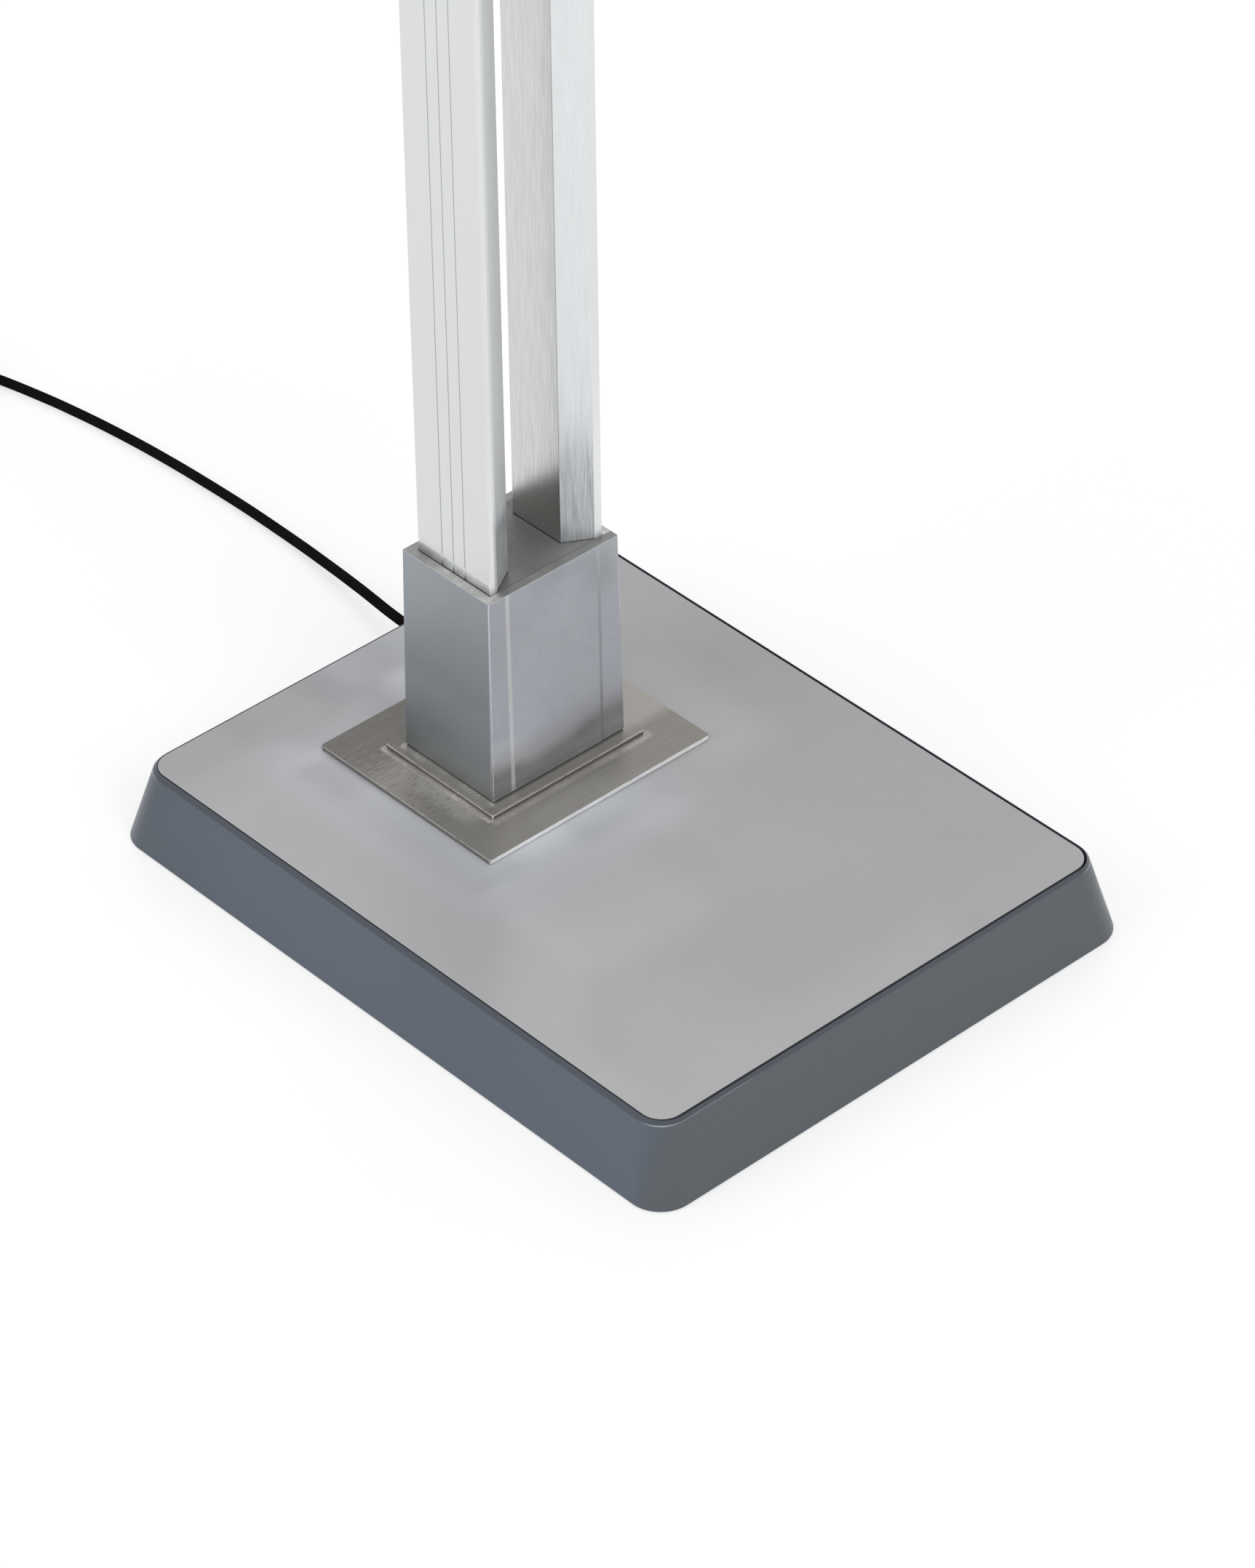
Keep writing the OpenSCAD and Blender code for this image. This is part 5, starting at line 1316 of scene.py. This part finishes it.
def neck():
    """The neck: an outline with a notched boss, a filleted stem and a flange, carried across."""
    _, high, _, size = extent("neck")
    axle = corners("tilt_axle").mean(0)
    boss_r, floor_r, notch, bore_r = 17 * MM, 15.2 * MM, 24.9, 10 * MM
    half, fillet, flange_t = size[0] / 2, 7 * MM, 8 * MM
    rise = high[2] - axle[2]
    under = rise - flange_t
    radii = np.array([2, 1, 1, 2]) * MM
    top = soften([(half, under), (half, rise), (-half, rise), (-half, under)], radii)
    outline = np.concatenate([
        arc((0, 0), boss_r, 180, 270 - notch, 14), arc((0, 0), floor_r, 270 - notch, 270 + notch, 10),
        arc((0, 0), boss_r, 270 + notch, 360, 14),
        arc((boss_r + fillet, under - fillet), fillet, 180, 90, 6),
        top[1:-1],
        arc((-boss_r - fillet, under - fillet), fillet, 90, 0, 6),
    ])  # fmt: skip
    through = rings(circle(bore_r), [(0, 0), (0, size[1])])
    shape = solid(rings(outline, edge_rows(0, size[1], 0.7 * MM, 3)), openings=[through])
    dress("neck", placed(shape, (axle[0], high[1], axle[2]), (0, -1, 0)))


def axle_caps():
    """The caps over the axle's ends: a softened rim, a shallow dish and a centre dimple."""
    _, high, middle, size = extent("axle_caps")
    face = corners("upright_left")[1][1]
    r, t, edge = size[0] / 2, high[1] - face, 0.9 * MM
    rows = np.concatenate([
        [(r, 0)], round_rim(r, t, edge, 5),
        [(0.72 * r, t), (0.66 * r, t - 0.5 * MM), (2.4 * MM, t - 0.6 * MM)],
        [(1.8 * MM, t - 0.9 * MM), (0.3 * MM, t - 1.1 * MM)],
    ])  # fmt: skip
    plug = turned([(4.2 * MM, -2.5 * MM), (4.2 * MM, 0)], 24)
    cap = joined([turned(rows, 48), plug])
    shapes = [placed(cap, (middle[0], way * face, middle[2]), (0, way, 0)) for way in (-1, 1)]
    dress("axle_caps", joined(shapes))


# Light head


def head_frame():
    """The head's aluminium frame: a wall with three rails, carried round a rounded rectangle."""
    low, high, centre, size = extent("head_frame")
    wall, rail, rail_t, outer_r = 4 * MM, 9 * MM, 2.5 * MM, 20 * MM
    tray, glazing, lip = (corners(node)[0][2] for node in ("heat_tray", "clear_cover", "diffuser"))
    line_z, line = high[2] - 7 * MM, 0.5 * MM
    section = np.array([
        (0, low[2]), (0, line_z - line), (line, line_z - line), (line, line_z + line),
        (0, line_z + line), (0, high[2]), (wall, high[2]), (wall, glazing), (rail, glazing),
        (rail, glazing - rail_t), (wall, glazing - rail_t), (wall, tray), (rail, tray),
        (rail, tray - rail_t), (wall, tray - rail_t), (wall, lip), (rail, lip), (rail, low[2]),
    ])  # fmt: skip
    radii = np.full(len(section), 0.25)
    radii[[0, 5]] = 1.4
    radii[1:5] = 0.15
    radii[[6, 17]] = 0.5
    path = soften(section * [-1, 1], radii * MM, 3) * [-1, 1]
    stack = [
        lifted(rounded_rectangle(size[0] - 2 * i, size[1] - 2 * i, outer_r - i, centre[:2], 12), z)
        for i, z in path
    ]
    dress("head_frame", loop_solid(np.array(stack)), HEAD_ALUMINIUM)


def head_panels():
    """The diffuser, the clear cover, the inner plate and the slotted rear lid."""
    corner_r = 15.7 * MM
    for node in ("diffuser", "clear_cover", "heat_tray"):
        dress(node, slab(corners(node), corner_r, 0.35 * MM))
    low, high, middle, _ = extent("rear_lid")
    count, first, row, pitch = 14, 46 * MM, 78 * MM, 7 * MM
    slot_l, slot_w, depth = 44 * MM, 3 * MM, 1.6 * MM
    slots = []
    for way in (-1, 1):
        for k in range(count):
            spot = (middle[0] - first + k * pitch, middle[1] + way * row)
            outline = rounded_rectangle(slot_w, slot_l, slot_w / 2.001, spot, 4)
            slots.append(rings(outline, [(0, high[2] - depth), (0, high[2])]))
    dress("rear_lid", slab((low, high), corner_r, 0.4 * MM, pockets=slots))


def sensor():
    """The presence sensor: a stepped ring and a faceted dome, both facing down."""
    _, high, middle, size = extent("sensor_ring")
    r, depth, bore, edge = size[0] / 2, size[2], 13 * MM, 1 * MM
    seat, neck_r = depth - 5 * MM, r - 2.3 * MM
    rows = np.concatenate([
        [(neck_r, 0), (neck_r, seat), (r, seat)], round_rim(r, depth, edge, 4),
        [(bore + 1.2 * MM, depth), (bore + 0.3 * MM, depth - 0.9 * MM), (bore, depth - 2 * MM)],
        [(bore, seat)],
    ])  # fmt: skip
    dress("sensor_ring", placed(turned(rows, 56), (*middle[:2], high[2]), (0, 0, -1)))

    _, high, middle, size = extent("sensor_lens")
    a = np.linspace(0, np.radians(84), 22)
    facet = size[0] / 2 * (1 - 0.035 * np.abs(np.sin(a * 7)))
    rows = np.stack([np.cos(a) * facet, np.sin(a) * facet], -1)
    dress("sensor_lens", placed(turned(rows, 40), (middle[0], 0, high[2]), (0, 0, -1)))


def head_screws():
    """Four screws up through the head's rear rails, their socket heads showing underneath."""
    low, high = corners("head_screws")
    seat = corners("head_frame")[0][2]
    head_r = 2.75 * MM
    shape = screw(head_r, seat - low[2], 2 * MM, 1.5 * MM, high[2] - seat)
    shapes = [
        placed(shape, (x, y, seat), (0, 0, -1))
        for x in (low[0] + head_r, high[0] - head_r)
        for y in (low[1] + head_r, high[1] - head_r)
    ]
    dress("head_screws", joined(shapes))


# Studio

WHITE = (1, 1, 1, 1)
FLOOR_HALF = 14
FLOOR_GLOW = 1.14
SHADOW_SHARE = 0.45
FADE_FROM, FADE_TO = 0.5, 2.2


def light_path(tree):
    """One for rays from the camera, a mirroring surface or a clear sheet, nothing for others."""
    path = add_node(tree, "ShaderNodeLightPath")
    found = path.outputs["Is Camera Ray"]
    for ray in ("Is Glossy Ray", "Is Transmission Ray"):
        inputs = {0: found, 1: path.outputs[ray]}
        found = add_node(tree, "ShaderNodeMath", inputs, operation="MAXIMUM").outputs[0]
    return found


def white_world(ambient):
    """A world that is plain white where it is seen or mirrored, and a softer light elsewhere."""
    world = bpy.data.worlds.new("studio_world")
    bpy.context.scene.world = world
    world.use_nodes = True
    tree = world.node_tree
    strength = add_node(tree, "ShaderNodeMapRange", {"Value": light_path(tree), "To Min": ambient})
    background = tree.nodes["Background"]
    background.inputs["Color"].default_value = WHITE
    tree.links.new(strength.outputs["Result"], background.inputs["Strength"])


def white_floor():
    """A white floor that keeps part of the lamp's shadow near it and fades to plain white."""
    mesh = bpy.data.meshes.new("studio_floor")
    s = FLOOR_HALF
    mesh.from_pydata([(-s, -s, 0), (s, -s, 0), (s, s, 0), (-s, s, 0)], [], [(0, 1, 2, 3)])
    material = bpy.data.materials.new("studio_floor")
    material.use_nodes = True
    tree = material.node_tree
    tree.nodes.remove(tree.nodes["Principled BSDF"])
    paper = add_node(tree, "ShaderNodeBsdfDiffuse", {"Color": WHITE})
    glow = add_node(tree, "ShaderNodeEmission", {"Strength": FLOOR_GLOW})
    place = add_node(tree, "ShaderNodeTexCoord").outputs["Object"]
    far = add_node(tree, "ShaderNodeVectorMath", {0: place}, operation="LENGTH").outputs["Value"]
    fade = {"Value": far, "From Min": FADE_FROM, "From Max": FADE_TO, "To Min": 1 - SHADOW_SHARE}
    inputs = {0: light_path(tree), 1: add_node(tree, "ShaderNodeMapRange", fade).outputs["Result"]}
    share = add_node(tree, "ShaderNodeMath", inputs, operation="MULTIPLY").outputs[0]
    inputs = {"Fac": share, 1: paper.outputs[0], 2: glow.outputs[0]}
    mixed = add_node(tree, "ShaderNodeMixShader", inputs).outputs[0]
    tree.links.new(mixed, tree.nodes["Material Output"].inputs["Surface"])
    mesh.materials.append(material)
    add_object("studio_floor", mesh)


def softbox(name, place, aim, size, watts):
    """A square area light at a place, turned to its aim."""
    data = bpy.data.lights.new(name, "AREA")
    data.size = size
    data.energy = watts
    light = add_object(name, data)
    light.location = place
    light.visible_glossy = False
    light.rotation_euler = (Vector(aim) - Vector(place)).to_track_quat("-Z", "Y").to_euler()


def studio():
    """A white world and floor, a broad key from the right, and weaker lights left and behind."""
    white_world(0.56)
    white_floor()
    softbox("key", (3.4, -0.6, 3.0), (0, 0, 0.3), 2.0, 48)
    softbox("fill", (-0.8, -3.4, 2.6), (0, 0, 0.5), 2.4, 34)
    softbox("rear", (-2.6, 2.6, 3.4), (0, 0, 0.6), 2.4, 30)


# The scene

photograph_camera()
lead = mains_lead()
relief = strain_relief()
plug = plug_parts()

for build in (
    foot_rim, cover_plate, steel_plates, collar, column_core, uprights, upright_caps, bridges,
    bridge_screws, set_screws, control_unit, push_buttons, button_marks, neck, axle_caps,
    head_frame, head_panels, sensor, head_screws,
):  # fmt: skip
    build()

for node, kept in frame["nodes"].items():
    kept.data.materials.clear()
    kept.data.materials.append(FINISH[SLOT[node]])

studio()
bpy.context.scene.view_settings.view_transform = "Standard"
